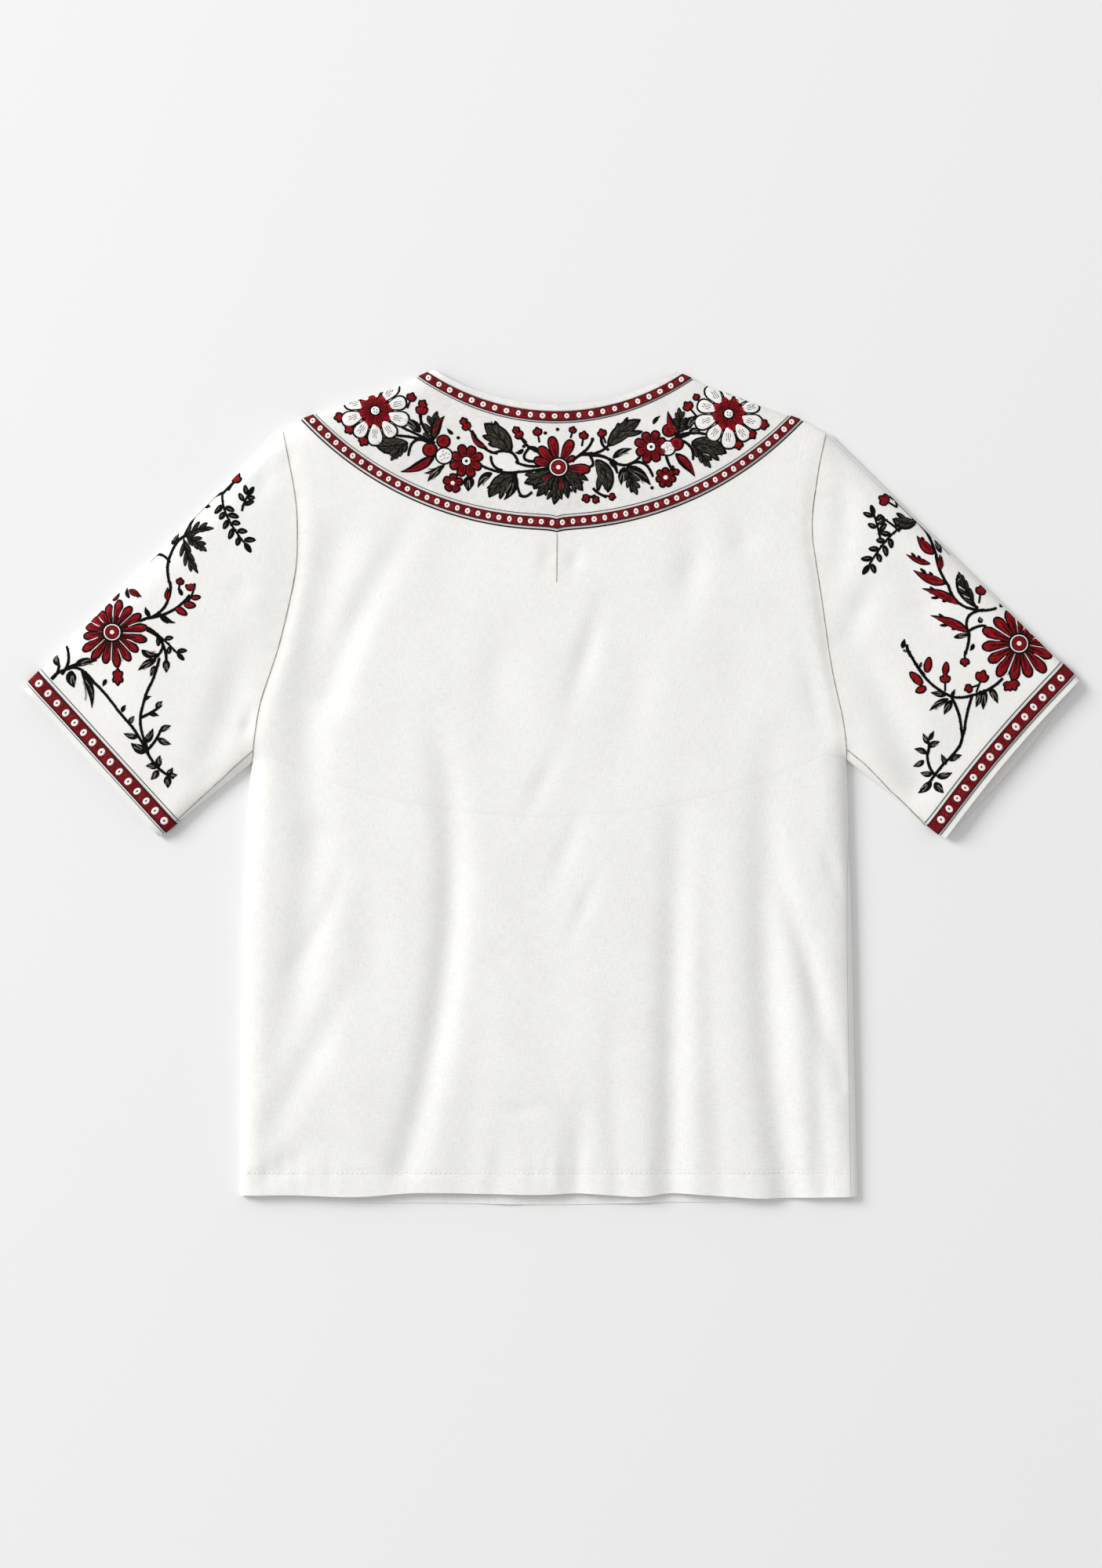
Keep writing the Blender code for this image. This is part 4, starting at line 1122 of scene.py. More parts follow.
# A leaf with lobes either side of its midrib, each with a dark edge and a vein
def lobedLeaf(area, start, end, width, bend):
    start, end = np.array(start, dtype=float), np.array(end, dtype=float)
    along = end - start
    long = np.linalg.norm(along)
    middle = bentMiddle(start, end, bend)
    spread = min(1.15, max(0.55, 2.1 * width / long))
    wide = max(2.2, width * 0.30)
    forks = np.array([lobe[0] for lobe in leafLobes] + [0.52])
    places, sides = alongStitch(guideLine(start, middle, end), forks)
    tips = []
    for (_, angle, part), place, side in zip(leafLobes, places, sides):
        turn = math.radians(angle * spread)
        ahead = np.array([side[1], -side[0]])
        tips.append(place + (ahead * math.cos(turn) + side * math.sin(turn)) * part * long)
    for place, tip in zip(places, tips + [end]):
        darkPad(area, place, tip, wide + 1.5, "lobe")
        addStitch(area, "grey", place * 0.9 + tip * 0.1, place * 0.12 + tip * 0.88, wide * 0.86, "lobe")
        stroke(area, "black", place, place * 0.3 + tip * 0.7, threads["veinWidth"])
    addStitch(area, "black", start, end - along * 0.12, wide * 0.8, "stem", layer="outline", middle=middle)
    stroke(area, "black", start, end - along * 0.2, 0.9, bend, "shortRings")


# A broad leaf with teeth near its tip, a midrib and slanting veins
def bladeLeaf(area, start, end, width, bend):
    start, end = np.array(start, dtype=float), np.array(end, dtype=float)
    along = end - start
    for angle, share in ((17, 0.84), (-16, 0.90), (27, 0.62)):
        base = np.array(turned(start, end, angle * 0.3, share * 0.5))
        tooth = np.array(turned(start, end, angle, share))
        darkPad(area, base, tooth, width * 0.3 + 1.3, "lobe")
        addStitch(area, "grey", base, base * 0.2 + tooth * 0.8, width * 0.3 - 1.2, "lobe")
    darkPad(area, start, end, width + 1.0, "blade", bend, "longRings")
    addStitch(area, "grey", start + along * 0.06, end - along * 0.08, width - 1.9, "blade", bend, "fill",
              "longRings")
    stroke(area, "black", start, end - along * 0.05, 0.95, bend, "longRings")
    rib = guideLine(start, bentMiddle(start, end, bend), end)
    for k, (place, side) in enumerate(zip(*alongStitch(rib, np.array([0.14, 0.24, 0.36, 0.46, 0.58, 0.68])))):
        ahead = np.array([side[1], -side[0]])
        tip = place + (ahead * 0.9 + side * (-1) ** k * 0.55) * width * 0.55
        stroke(area, "black", place, tip, threads["veinWidth"])


def plainLeaf(area, start, end, width, bend):
    darkPad(area, start, end, width + 0.5, "leaf", bend)
    if width > 4.0:
        for angle in (-8, 7):
            stroke(area, "ash", turned(start, end, angle, 0.28), turned(start, end, angle, 0.78),
                   0.4 + 0.05 * width, bend)


# A dark leaf with one red half
def spearLeaf(area, start, end, width, bend):
    darkPad(area, start, end, width + 0.6, "leaf", bend, "longRings")
    low, high = turned(start, end, 7, 0.12), turned(start, end, 2, 0.9)
    addStitch(area, "red", low, high, width * 0.56, "leaf", bend + 0.03)
    low, high = turned(start, end, 9, 0.25), turned(start, end, 4, 0.8)
    stroke(area, "crimson", low, high, threads["veinWidth"], bend, "shortRings")


# A slender red leaf with dark teeth
def featherLeaf(area, start, end, width, bend):
    darkPad(area, start, end, width + 1.0, "leaf", bend, "longRings")
    low, high = turned(start, end, 3, 0.07), turned(start, end, 0, 0.9)
    addStitch(area, "red", low, high, width - 1.3, "leaf", bend, "fill", "longRings")
    for angle, share in ((13, 0.44), (-12, 0.58), (10, 0.72), (-8, 0.85)):
        low, high = turned(start, end, angle * 0.5, share * 0.74), turned(start, end, angle, share)
        darkPad(area, low, high, 1.4 + width * 0.2, "bud")
    for angle in (-4, 4):
        low, high = turned(start, end, angle, 0.2), turned(start, end, angle * 0.6, 0.8)
        stroke(area, "crimson", low, high, threads["veinWidth"], bend, "shortRings")


leafKinds = {"plain": plainLeaf, "oak": lobedLeaf, "blade": bladeLeaf, "spear": spearLeaf,
             "feather": featherLeaf}


def leaf(area, x1, y1, x2, y2, width, bend, kind):
    leafKinds[kind](area, (x1, y1), (x2, y2), width, bend)


# A curved stem with leaflets or red buds either side and a leaflet at its tip
def sprig(area, x1, y1, x2, y2, x3, y3, pairs, size, thread):
    start, middle, end = (np.array(p, dtype=float) for p in ((x1, y1), (x2, y2), (x3, y3)))
    size *= threads["sprigGrowth"]
    stem(area, start, middle, end, width=1.35)
    places, sides = alongStitch(guideLine(start, middle, end), np.linspace(0.28, 0.97, 2 * pairs))
    for k, (place, across) in enumerate(zip(places, sides)):
        ahead = np.array([across[1], -across[0]])
        out = across * (1 if k % 2 else -1)
        base = place + out * 0.9
        long = size * (1.0 - 0.12 * (k % 3))
        tip = base + (out * 0.8 + ahead * 0.62) * long
        if thread == "red":
            outlined(area, "red", base + out * 0.6, tip + out * 0.6, size * 0.42, "bud")
        else:
            darkPad(area, base, tip, size * 0.56, "bud", 0.06)
            stroke(area, "ash", base * 0.7 + tip * 0.3, base * 0.25 + tip * 0.75, 0.5, 0.06)
    darkPad(area, end, end + (end - middle) / np.linalg.norm(end - middle) * size, size * 0.56, "bud")


# Thread, share of the hub's radius and layer of each disc
hubRings = [("black", 1.44, "over"), ("white", 1.18, "crown"), ("black", 1.02, "top"), ("red", 0.88, "peak"),
            ("white", 0.30, "tip")]


def hubDiscs(area, x, y, hub):
    for thread, share, layer in hubRings:
        disc(area, thread, x, y, hub * share, layer)


# Red petals round a hub; the petals towards one side are shorter
def daisy(area, x, y, radius, count, turn, hub, squash=0.0, towards=0.0):
    wide = 2 * math.pi * radius * 0.66 / count - 2.1
    for k in range(count):
        angle = turn + 360.0 * k / count
        short = 1.0 - squash * max(0.0, math.cos(math.radians(angle - towards))) ** 2
        reach = radius * short * (1.0 - 0.05 * (k % 3))
        low, high = polar(x, y, angle, hub * 1.05), polar(x, y, angle + 2 * (k % 2), reach)
        outlined(area, "red", low, high, wide, "slim", 0.02 * (-1) ** k)
        for spread, thread, end in ((-2.6, "crimson", 0.84), (2.6, "crimson", 0.74), (0.0, "black", 0.52)):
            low, high = polar(x, y, angle + spread, hub * 1.2), polar(x, y, angle + spread * 0.7, reach * end)
            stroke(area, thread, low, high, 0.8, 0.0, "shortRings")
        edge = angle + 180.0 / count * (-1) ** (k % 3)
        low, high = polar(x, y, edge, reach * 0.52), polar(x, y, edge, reach * 0.9)
        addStitch(area, "white", low, high, 0.9, "bud", 0.04)
    hubDiscs(area, x, y, hub)


# Red petals above, a fan of dark leaves below
def centreFlower(area, x, y):
    for angle, reach, wide in ((-155, 31, 10.5), (-127, 30, 8.5), (-97, 31, 9.0), (-73, 27, 6.5),
                               (-44, 28, 8.5),
                               (-24, 27, 6.0)):
        bladeLeaf(area, polar(x, y, angle, 6.0), polar(x, y, angle, reach), wide, 0.04)
    for angle, reach, wide in ((162, 20, 6.2), (134, 22, 7.0), (103, 25, 6.8), (64, 24, 7.0), (-4, 25, 6.8),
                               (-140, 17, 4.6), (-84, 19, 3.4), (34, 15, 3.0)):
        outlined(area, "red", polar(x, y, angle, 7.0), polar(x, y, angle, reach), wide, "petal")
        for spread, thread, far in ((-5, "crimson", 0.84), (5, "crimson", 0.78), (0, "black", 0.66)):
            low, high = polar(x, y, angle + spread, 8.0), polar(x, y, angle + spread * 0.8, reach * far)
            stroke(area, thread, low, high, threads["veinWidth"], 0.0, "shortRings")
    hubDiscs(area, x, y, 6.2)


# White outer petals with fine strokes, an inner ring of red ones
def whiteFlower(area, x, y, turn, mirror):
    for k in range(10):
        angle = turn + mirror * 36.0 * k
        reach = 28.0 - 2.2 * (k % 2)
        low, high = polar(x, y, angle, 11.0), polar(x, y, angle, reach)
        outlined(area, "white", low, high, 12.0 - 1.2 * (k % 2), "petal")
        for spread, near, far in ((-7, 15.5, 19.5), (-1, 15.0, 21.5), (5, 16.0, 20.0), (2, 20.5, 23.0),
                                  (-5, 20.0, 22.5)):
            low, high = polar(x, y, angle + spread, near), polar(x, y, angle + spread * 0.8, far)
            stroke(area, "black", low, high, 0.5)
    for k in range(8):
        angle = turn + 14 + 45.0 * k
        outlined(area, "red", polar(x, y, angle, 4.2), polar(x, y, angle, 14.4), 7.8, "petal")
        for spread, thread in ((-10, "crimson"), (0, "black"), (10, "crimson")):
            low, high = polar(x, y, angle + spread, 5.0), polar(x, y, angle + spread, 11.0)
            stroke(area, thread, low, high, threads["veinWidth"])
    disc(area, "black", x, y, 4.9, "over")
    disc(area, "white", x, y, 3.5, "crown")
    for angle, distance in ((20, 1.4), (130, 1.6), (235, 1.2), (310, 2.0)):
        disc(area, "black", *polar(x, y, angle, distance), 0.55, "top")


def smallFlower(area, x, y, radius, count, turn):
    wide = 2 * math.pi * radius * 0.62 / count - 0.6
    for k in range(count):
        angle = turn + 360.0 * k / count
        low, high = polar(x, y, angle, radius * 0.24), polar(x, y, angle, radius * (1 - 0.06 * (k % 2)))
        outlined(area, "red", low, high, wide, "petal")
        for spread, thread in ((-9, "crimson"), (0, "black"), (9, "crimson")):
            low, high = polar(x, y, angle + spread, radius * 0.38), polar(x, y, angle + spread, radius * 0.8)
            stroke(area, thread, low, high, 0.05 * radius)
    if radius > 10:
        disc(area, "black", x, y, radius * 0.34, "over")
        disc(area, "white", x, y, radius * 0.26, "crown")
        disc(area, "black", x, y, radius * 0.10, "top")
    else:
        disc(area, "white", x, y, radius * 0.24, "over")


def berry(area, thread, x, y, radius):
    disc(area, "black", x, y, radius + threads["outlineWidth"], "outline")
    disc(area, thread, x, y, radius)


def redBerry(area, x, y, radius):
    berry(area, "red", x, y, radius)
    for spread in (-1.5, 0.2, 1.8):
        low, high = (x + spread, y - radius * 0.6), (x + spread * 0.6, y + radius * 0.6)
        stroke(area, "crimson", low, high, 0.5, 0.1, "shortRings")


def whiteBerry(area, x, y, radius):
    berry(area, "white", x, y, radius)
    for k in range(9):
        sx, sy = polar(x, y, 137.5 * k, radius * 0.24 * math.sqrt(k))
        stroke(area, "grey", (sx - 0.7, sy - 0.5), (sx + 0.8, sy + 0.6), 0.42, 0.1)


# Three red lobes on a short black stalk
def bud(area, x, y, size, angle):
    stem(area, polar(x, y, angle + 180, size * 1.3), (x, y), polar(x, y, angle, size * 0.2), width=1.2)
    for turn, share in ((-42, 0.85), (42, 0.85), (0, 1.05)):
        outlined(area, "red", (x, y), polar(x, y, angle + turn, size * share), size * 0.6, "bud")


def embroider(area, stems, leaves, sprigs, buds, reds):
    for points in stems:
        stem(area, *points, width=1.7)
    for row in leaves:
        leaf(area, *row)
    for row in sprigs:
        sprig(area, *row)
    for row in buds:
        bud(area, *row)
    for x1, y1, x2, y2, wide in reds:
        outlined(area, "red", (x1, y1), (x2, y2), wide, "bud")


Leaf = namedtuple("Leaf", "x1 y1 x2 y2 width bend kind")
Bud = namedtuple("Bud", "x y size angle")
Sprig = namedtuple("Sprig", "x1 y1 x2 y2 x3 y3 pairs size thread")

yokeStems = [
    [(-4, 260), (-16, 258), (-28, 257), (-42, 257), (-56, 262)],
    [(-10, 262), (-20, 262), (-28, 265), (-33, 273), (-45, 273), (-55, 277), (-64, 290)],
    [(-41, 259), (-47, 262), (-49, 269)],
    [(-29, 256), (-28, 246), (-25, 238), (-21, 237), (-17, 240)],
    [(-9, 273), (-19, 278), (-24, 285)],
    [(-12, 266), (-22, 268), (-18, 276), (-14, 277), (-9, 273)],
    [(-96, 281), (-106, 286), (-121, 293)],
    [(-97, 280), (-112, 285), (-134, 287)],
    [(-96, 278), (-110, 283), (-116, 271)],
    [(-97, 283), (-104, 293), (-107, 303)],
    [(18, 266), (24, 271), (34, 272), (42, 275), (46, 279)],
    [(26, 271), (40, 270), (52, 265), (63, 263), (73, 271)],
    [(24, 272), (30, 277), (33, 283)],
    [(34, 270), (46, 268), (53, 257)],
    [(64, 263), (75, 264), (82, 254)],
    [(102, 286), (116, 289), (131, 286)],
    [(102, 285), (112, 288), (120, 295)],
    [(103, 283), (113, 278), (115, 268)],
    [(94, 269), (96, 263), (100, 257)],
    [(21, 262), (33, 262), (31, 270), (26, 272), (20, 268)],
    [(41, 284), (42, 279), (46, 276)],
    [(35, 243), (38, 240), (44, 237)],
]
yokeLeaves = [
    Leaf(-117, 281, -143, 278, 14, 0.06, "blade"), Leaf(-117, 280, -131, 266, 9, -0.08, "oak"),
    Leaf(-97, 282, -93, 307, 12, 0.10, "oak"), Leaf(-96, 283, -87, 303, 8.0, 0.10, "spear"),
    Leaf(-107, 289, -121, 300, 8.0, -0.10, "plain"),
    Leaf(-95, 271, -123, 257, 8.4, 0.08, "spear"), Leaf(-87, 263, -104, 256, 4.6, 0.10, "plain"),
    Leaf(-89, 261, -101, 249, 6.4, -0.05, "plain"), Leaf(-67, 254, -68, 241, 9.6, 0.0, "plain"),
    Leaf(-48, 256, -60, 244, 6.5, -0.14, "plain"), Leaf(-30, 255, -51, 236, 12.5, -0.10, "blade"),
    Leaf(-29, 254, -39, 234, 7.5, 0.10, "plain"), Leaf(-33, 273, -55, 297, 16, -0.05, "blade"),
    Leaf(-52, 276, -66, 291, 5.2, 0.12, "spear"), Leaf(-80, 288, -85, 293, 3.0, 0.1, "plain"),
    Leaf(-23, 276, -30, 273, 3.6, 0.2, "plain"),
    Leaf(46, 278, 73, 300, 13, 0.06, "blade"), Leaf(50, 268, 66, 276, 5.6, 0.10, "plain"),
    Leaf(36, 267, 46, 240, 13, 0.12, "blade"), Leaf(61, 261, 70, 238, 11, 0.0, "oak"),
    Leaf(61, 261, 81, 246, 9.0, 0.08, "plain"), Leaf(60, 261, 57, 246, 6.5, -0.08, "plain"),
    Leaf(103, 287, 104, 310, 10, -0.06, "oak"), Leaf(102, 287, 95, 307, 7.0, 0.05, "spear"),
    Leaf(109, 291, 119, 303, 8.0, 0.10, "plain"), Leaf(112, 290, 122, 291, 6.0, 0.0, "plain"),
    Leaf(114, 281, 143, 272, 14, 0.06, "blade"), Leaf(114, 280, 130, 260, 9.5, 0.05, "oak"),
    Leaf(101, 272, 117, 253, 8.4, 0.05, "spear"), Leaf(83, 296, 89, 303, 3.2, 0.1, "plain"),
    Leaf(47, 265, 54, 257, 3.6, 0.12, "plain"),
]
yokeBuds = [
    Bud(-171, 302, 5.2, 190), Bud(-163, 293, 5.2, 215), Bud(-152, 284, 5.4, 240), Bud(-115, 316, 5.0, 70),
    Bud(-106, 305, 6.6, 85), Bud(-106, 311, 4.4, 60), Bud(-68, 293, 4.8, 130), Bud(-71, 297, 3.8, 110),
    Bud(-25, 286, 4.6, 135), Bud(-28, 290, 3.6, 120), Bud(-11, 288, 4.6, 100), Bud(26, 285, 4.6, 80),
    Bud(42, 287, 4.6, 110), Bud(17, 290, 3.4, 75), Bud(113, 309, 5.6, 130), Bud(171, 296, 5.4, -10),
    Bud(162, 289, 5.0, -50), Bud(152, 281, 5.0, -80), Bud(30, 236, 4.2, 200), Bud(35, 235, 3.4, -30),
    Bud(48, 237, 3.4, -10), Bud(101, 258, 3.0, -60), Bud(119, 317, 3.2, 120),
]
yokeBerries = [(-88, 282, 4.6), (-99, 275, 5.0), (96, 291, 4.6), (102, 280, 4.8)]
yokeDots = [(-76, 285), (-5, 289), (5, 292), (82, 244), (33.5, 284), (-22.5, 278)]

embroider("yoke", yokeStems, yokeLeaves, [], yokeBuds, [])
for row in yokeBerries:
    redBerry("yoke", *row)
for x, y in yokeDots:
    disc("yoke", "black", x, y, 1.5, "outline")
centreFlower("yoke", 5.7, 260.8)
whiteFlower("yoke", -143.6, 307.0, -90, 1)
whiteFlower("yoke", 144.5, 304.4, -90, -1)
whiteBerry("yoke", -87.4, 270.1, 6.2)
whiteBerry("yoke", 94.8, 276.4, 5.6)
smallFlower("yoke", -69.3, 265.9, 13.2, 8, 20)
smallFlower("yoke", 81.3, 277.5, 13.0, 8, 70)
smallFlower("yoke", -80.4, 247.9, 7.2, 5, 12)
smallFlower("yoke", 93.1, 252.4, 7.6, 7, 40)

leftStems = [
    [(-260, 248), (-264, 244), (-268, 240), (-276, 237), (-283, 231), (-289, 225), (-294, 216), (-297, 210),
     (-300, 204), (-306, 199), (-311, 188), (-313, 178), (-311, 166), (-311, 158), (-314, 150), (-319, 143),
     (-328, 138)],
    [(-328, 138), (-338, 134), (-345, 128)],
    [(-328, 138), (-309, 144), (-296, 156)],
    [(-328, 186), (-320, 190), (-312, 184)],
    [(-328, 129), (-320, 122), (-315, 111), (-314, 104), (-315, 98)],
    [(-329, 127), (-317, 117), (-324, 105)],
    [(-407, 89), (-401, 94), (-394, 96), (-384, 96), (-373, 85), (-364, 76), (-354, 63), (-348, 56),
     (-342, 49),
     (-336, 40), (-330, 29), (-326, 22), (-320, 15), (-315, 11), (-309, 8)],
    [(-320, 104), (-323, 93), (-327, 83), (-331, 74), (-334, 62), (-335, 50), (-331, 36), (-330, 32),
     (-329, 28)],
    [(-407, 89), (-402, 97), (-405, 106)],
    [(-399, 93), (-394, 103), (-396, 114)],
    [(-396, 96), (-388, 100), (-379, 101)],
    [(-334, 57), (-326, 61), (-319, 66)],
    [(-329, 31), (-323, 38), (-319, 46)],
]
leftLeaves = [
    Leaf(-299, 205, -275, 211, 7.5, 0.12, "oak"), Leaf(-299, 205, -281, 192, 9.0, 0.06, "oak"),
    Leaf(-300, 203, -288, 174, 8.0, -0.08, "oak"), Leaf(-310, 198, -305, 209, 5.5, -0.06, "plain"),
    Leaf(-287, 225, -282, 232, 3.6, 0.1, "plain"), Leaf(-284, 230, -278, 229, 4.0, 0.0, "plain"),
    Leaf(-384, 96, -375, 64, 6.5, 0.10, "plain"), Leaf(-391, 95, -389, 81, 9.0, -0.12, "plain"),
    Leaf(-389, 99, -370, 103, 6.5, 0.08, "plain"), Leaf(-403, 99, -405, 110, 5.6, 0.05, "plain"),
    Leaf(-327, 139, -331, 147, 4.0, 0.1, "plain"), Leaf(-334, 112, -320, 109, 6.0, -0.2, "plain"),
    Leaf(-322, 104, -337, 95, 6.4, -0.05, "plain"), Leaf(-323, 99, -327, 90, 4.6, 0.0, "plain"),
    Leaf(-314, 104, -314, 93, 6.2, 0.0, "plain"), Leaf(-363, 88, -366, 82, 3.4, 0.0, "plain"),
    Leaf(-350, 61, -347, 67, 3.6, 0.1, "plain"), Leaf(-344, 51, -340, 58, 4.2, 0.1, "plain"),
    Leaf(-317, 141, -306, 134, 3.6, -0.15, "plain"), Leaf(-319, 142, -312, 133, 3.4, -0.1, "plain"),
    Leaf(-313, 152, -313, 163, 4.8, 0.0, "feather"), Leaf(-301, 156, -304, 163, 3.4, 0.0, "plain"),
    Leaf(-345, 161, -334, 155, 5.0, 0.0, "feather"), Leaf(-344, 154, -346, 163, 3.2, 0.15, "plain"),
    Leaf(-337, 41, -349, 44, 5.0, 0.08, "plain"), Leaf(-330, 29, -343, 36, 8.0, 0.08, "plain"),
    Leaf(-332, 36, -325, 48, 6.0, -0.08, "plain"), Leaf(-319, 45, -310, 50, 5.0, 0.1, "plain"),
    Leaf(-321, 40, -310, 35, 5.6, -0.08, "plain"), Leaf(-320, 16, -319, 26, 5.6, 0.1, "plain"),
    Leaf(-321, 16, -331, 17, 5.6, -0.08, "plain"), Leaf(-321, 14, -327, 6, 5.6, 0.08, "plain"),
    Leaf(-314, 10, -309, 16, 4.6, -0.1, "plain"), Leaf(-314, 9, -313, -1, 6.6, 0.05, "plain"),
    Leaf(-312, 9, -305, 10, 4.2, 0.0, "plain"), Leaf(-328, 59, -320, 58, 3.8, 0.1, "plain"),
    Leaf(-322, 64, -317, 70, 4.4, 0.1, "plain"), Leaf(-333, 70, -326, 74, 3.0, 0.1, "plain"),
]
leftSprigs = [
    Sprig(-268, 240, -265, 222, -250, 199, 5, 7.0, "black"),
    Sprig(-252, 226, -250, 233, -247, 238, 2, 6.2, "black"),
    Sprig(-325, 127, -316, 120, -305, 109, 2, 6.0, "black"),
    Sprig(-296, 152, -293, 157, -292, 161, 1, 4.2, "red"),
]
leftBuds = [Bud(-259, 250, 6.4, 60), Bud(-353.5, 90, 5.6, -90), Bud(-353.5, 90, 5.2, 90),
            Bud(-303, 166, 3.6, 80)]
leftReds = [(-299, 149, -291, 148, 4.2), (-306, 146, -298, 141, 4.0), (-358, 153, -354, 158, 3.4)]

embroider("sleeveLeft", leftStems, leftLeaves, leftSprigs, leftBuds, leftReds)
disc("sleeveLeft", "black", -293.6, 163, 3.2, "outline")
disc("sleeveLeft", "red", -293.6, 163, 2.6, "fill")
daisy("sleeveLeft", -358.0, 126.2, 28.0, 16, 8, 5.9, 0.24, 135)

rightStems = [
    [(282, 233), (289, 228), (295, 221), (302, 214), (307, 207), (311, 198), (314, 188), (317, 176),
     (324, 164),
     (330, 152), (341, 146), (352, 144), (362, 146)],
    [(352, 144), (340, 139), (340, 127)],
    [(340, 127), (348, 131), (353, 131)],
    [(340, 127), (340, 118), (337, 108)],
    [(347, 147), (333, 158), (332, 172)],
    [(367, 88), (357, 80), (343, 75), (334, 73), (326, 74), (315, 80), (306, 88), (299, 97), (294, 106),
     (291, 110), (290, 115)],
    [(326, 73), (332, 60), (334, 47), (335, 40), (333, 34), (328, 27), (320, 19), (313, 10), (305, -1)],
    [(343, 74), (339, 60), (337, 47), (335, 40), (333, 33)],
    [(313, 10), (308, 18), (307, 28)],
    [(307, 28), (308, 33), (307, 38)],
    [(296, 219), (290, 214), (283, 210)],
    [(318, 198), (324, 203), (330, 196)],
]
rightLeaves = [
    Leaf(298, 217, 278, 219, 10.0, 0.14, "blade"), Leaf(318, 191, 313, 203, 4.6, 0.0, "plain"),
    Leaf(317, 177, 317, 190, 5.0, 0.0, "feather"), Leaf(312, 190, 298, 205, 8.0, 0.05, "feather"),
    Leaf(309, 182, 289, 190, 4.6, 0.05, "feather"), Leaf(322, 166, 295, 177, 7.6, 0.06, "feather"),
    Leaf(333, 149, 302, 162, 7.0, -0.05, "feather"), Leaf(341, 126, 309, 140, 7.4, -0.04, "feather"),
    Leaf(346, 148, 332, 176, 6.6, 0.05, "oak"), Leaf(328, 122, 342, 125, 4.4, 0.0, "plain"),
    Leaf(350, 79, 346, 65, 6.0, 0.05, "plain"), Leaf(353, 80, 352, 63, 6.4, 0.0, "plain"),
    Leaf(357, 81, 364, 68, 6.0, 0.05, "plain"), Leaf(344, 117, 341, 111, 3.4, 0.1, "plain"),
    Leaf(322, 75, 309, 77, 5.4, 0.0, "plain"), Leaf(324, 72, 308, 62, 5.2, -0.06, "plain"),
    Leaf(326, 71, 320, 59, 6.4, 0.0, "plain"), Leaf(316, 198, 322, 203, 4.4, 0.0, "plain"),
    Leaf(351, 134, 349, 139, 4.4, 0.1, "plain"), Leaf(326, 73, 329, 80, 3.0, 0.0, "plain"),
    Leaf(366, 147, 372, 153, 4.0, 0.0, "plain"),
    Leaf(307, 35, 303, 44, 4.4, 0.0, "plain"), Leaf(308, 32, 317, 37, 5.2, 0.1, "plain"),
    Leaf(306, 27, 296, 31, 5.0, -0.1, "plain"), Leaf(304, 22, 295, 17, 4.8, 0.1, "plain"),
    Leaf(308, 38, 312, 46, 3.8, 0.0, "plain"), Leaf(310, 5, 299, -5, 6.4, 0.08, "plain"),
    Leaf(313, 4, 320, -5, 7.0, -0.05, "plain"), Leaf(314, 9, 327, 12, 5.8, -0.1, "plain"),
    Leaf(311, 11, 301, 12, 5.0, 0.1, "plain"), Leaf(322, 18, 318, 27, 4.4, 0.0, "plain"),
    Leaf(325, 21, 335, 26, 5.2, 0.1, "plain"), Leaf(286, 113, 288, 121, 4.0, 0.0, "plain"),
]
rightSprigs = [
    Sprig(284, 211, 272, 200, 259, 181, 4, 7.0, "black"),
    Sprig(268, 203, 266, 212, 263, 222, 2, 6.4, "black"),
    Sprig(283, 209, 279, 213, 272, 218, 1, 5.4, "black"), Sprig(304, 92, 297, 101, 291, 112, 1, 3.4, "black"),
]
rightBuds = [
    Bud(274, 233, 6.6, 150), Bud(281, 236, 5.0, 100), Bud(350, 158, 5.6, 80), Bud(337, 104, 4.6, -90),
    Bud(321, 86, 5.4, 90), Bud(350, 87, 7.4, 70), Bud(342, 81, 4.4, 200), Bud(376, 86, 6.4, -70),
    Bud(374, 84, 5.4, -130),
]
rightReds = [(306, 94, 308, 105, 4.8), (302, 84, 293, 93, 5.2), (305, 81, 298, 78, 4.4),
             (321, 92, 322, 101, 3.8)]

embroider("sleeveRight", rightStems, rightLeaves, rightSprigs, rightBuds, rightReds)
daisy("sleeveRight", 381.3, 117.0, 31.0, 14, 4, 6.4, 0.22, 45)

# Stitched seams and the hem. Each seam line is a thin brown cord: the stitching, and also painted shadow of
# the seam's narrow valley
seams = {
    "backSeam": [(4.5, 206.5), (4.4, 187.0), (4.2, 167.0)],
    "leftUnderarm": [(-306.9, -28.3), (-287.0, -9.5), (-264.3, 11.2), (-254.0, 20.8), (-243.8, 29.6)],
    "rightUnderarm": [(305.3, -31.5), (291.0, -16.0), (277.1, -3.4), (266.0, 8.4), (255.0, 19.4),
                      (248.0, 25.0),
                      (241.6, 30.2)],
    "hemStitch": 3.0,
    "hemGap": 1.0,
}
for area, name in (("sleeveLeft", "leftUnderarm"), ("sleeveRight", "rightUnderarm")):
    points = seams[name]
    stem(area, *points, width=0.7, thread="seam", bold=False)
# Along each armhole a brown cord over the seam gap paints the gap's shadow as well as the seam
for side in bothSides:
    curve = armholeCurves[side]
    points = atLengths(curve, np.linspace(4.0, runLengths(curve)[-1] - 3.0, 13))
    stem("back", *points, width=0.6, thread="seam", bold=False)
stem("back", *seams["backSeam"], width=0.5, thread="seam", bold=False)
stitchStart = sideCurves["left"][0][0] + 6.0
while stitchStart < sideCurves["right"][0][0] - 9.0:
    low = hemRows[0].backY + hemStitch["fromHem"]
    addStitch("back", "white", (stitchStart, low), (stitchStart + seams["hemStitch"], low + 0.15), 0.7,
              "stem",
              layer="outline", rings="tinyRings")
    stitchStart += seams["hemStitch"] + seams["hemGap"]

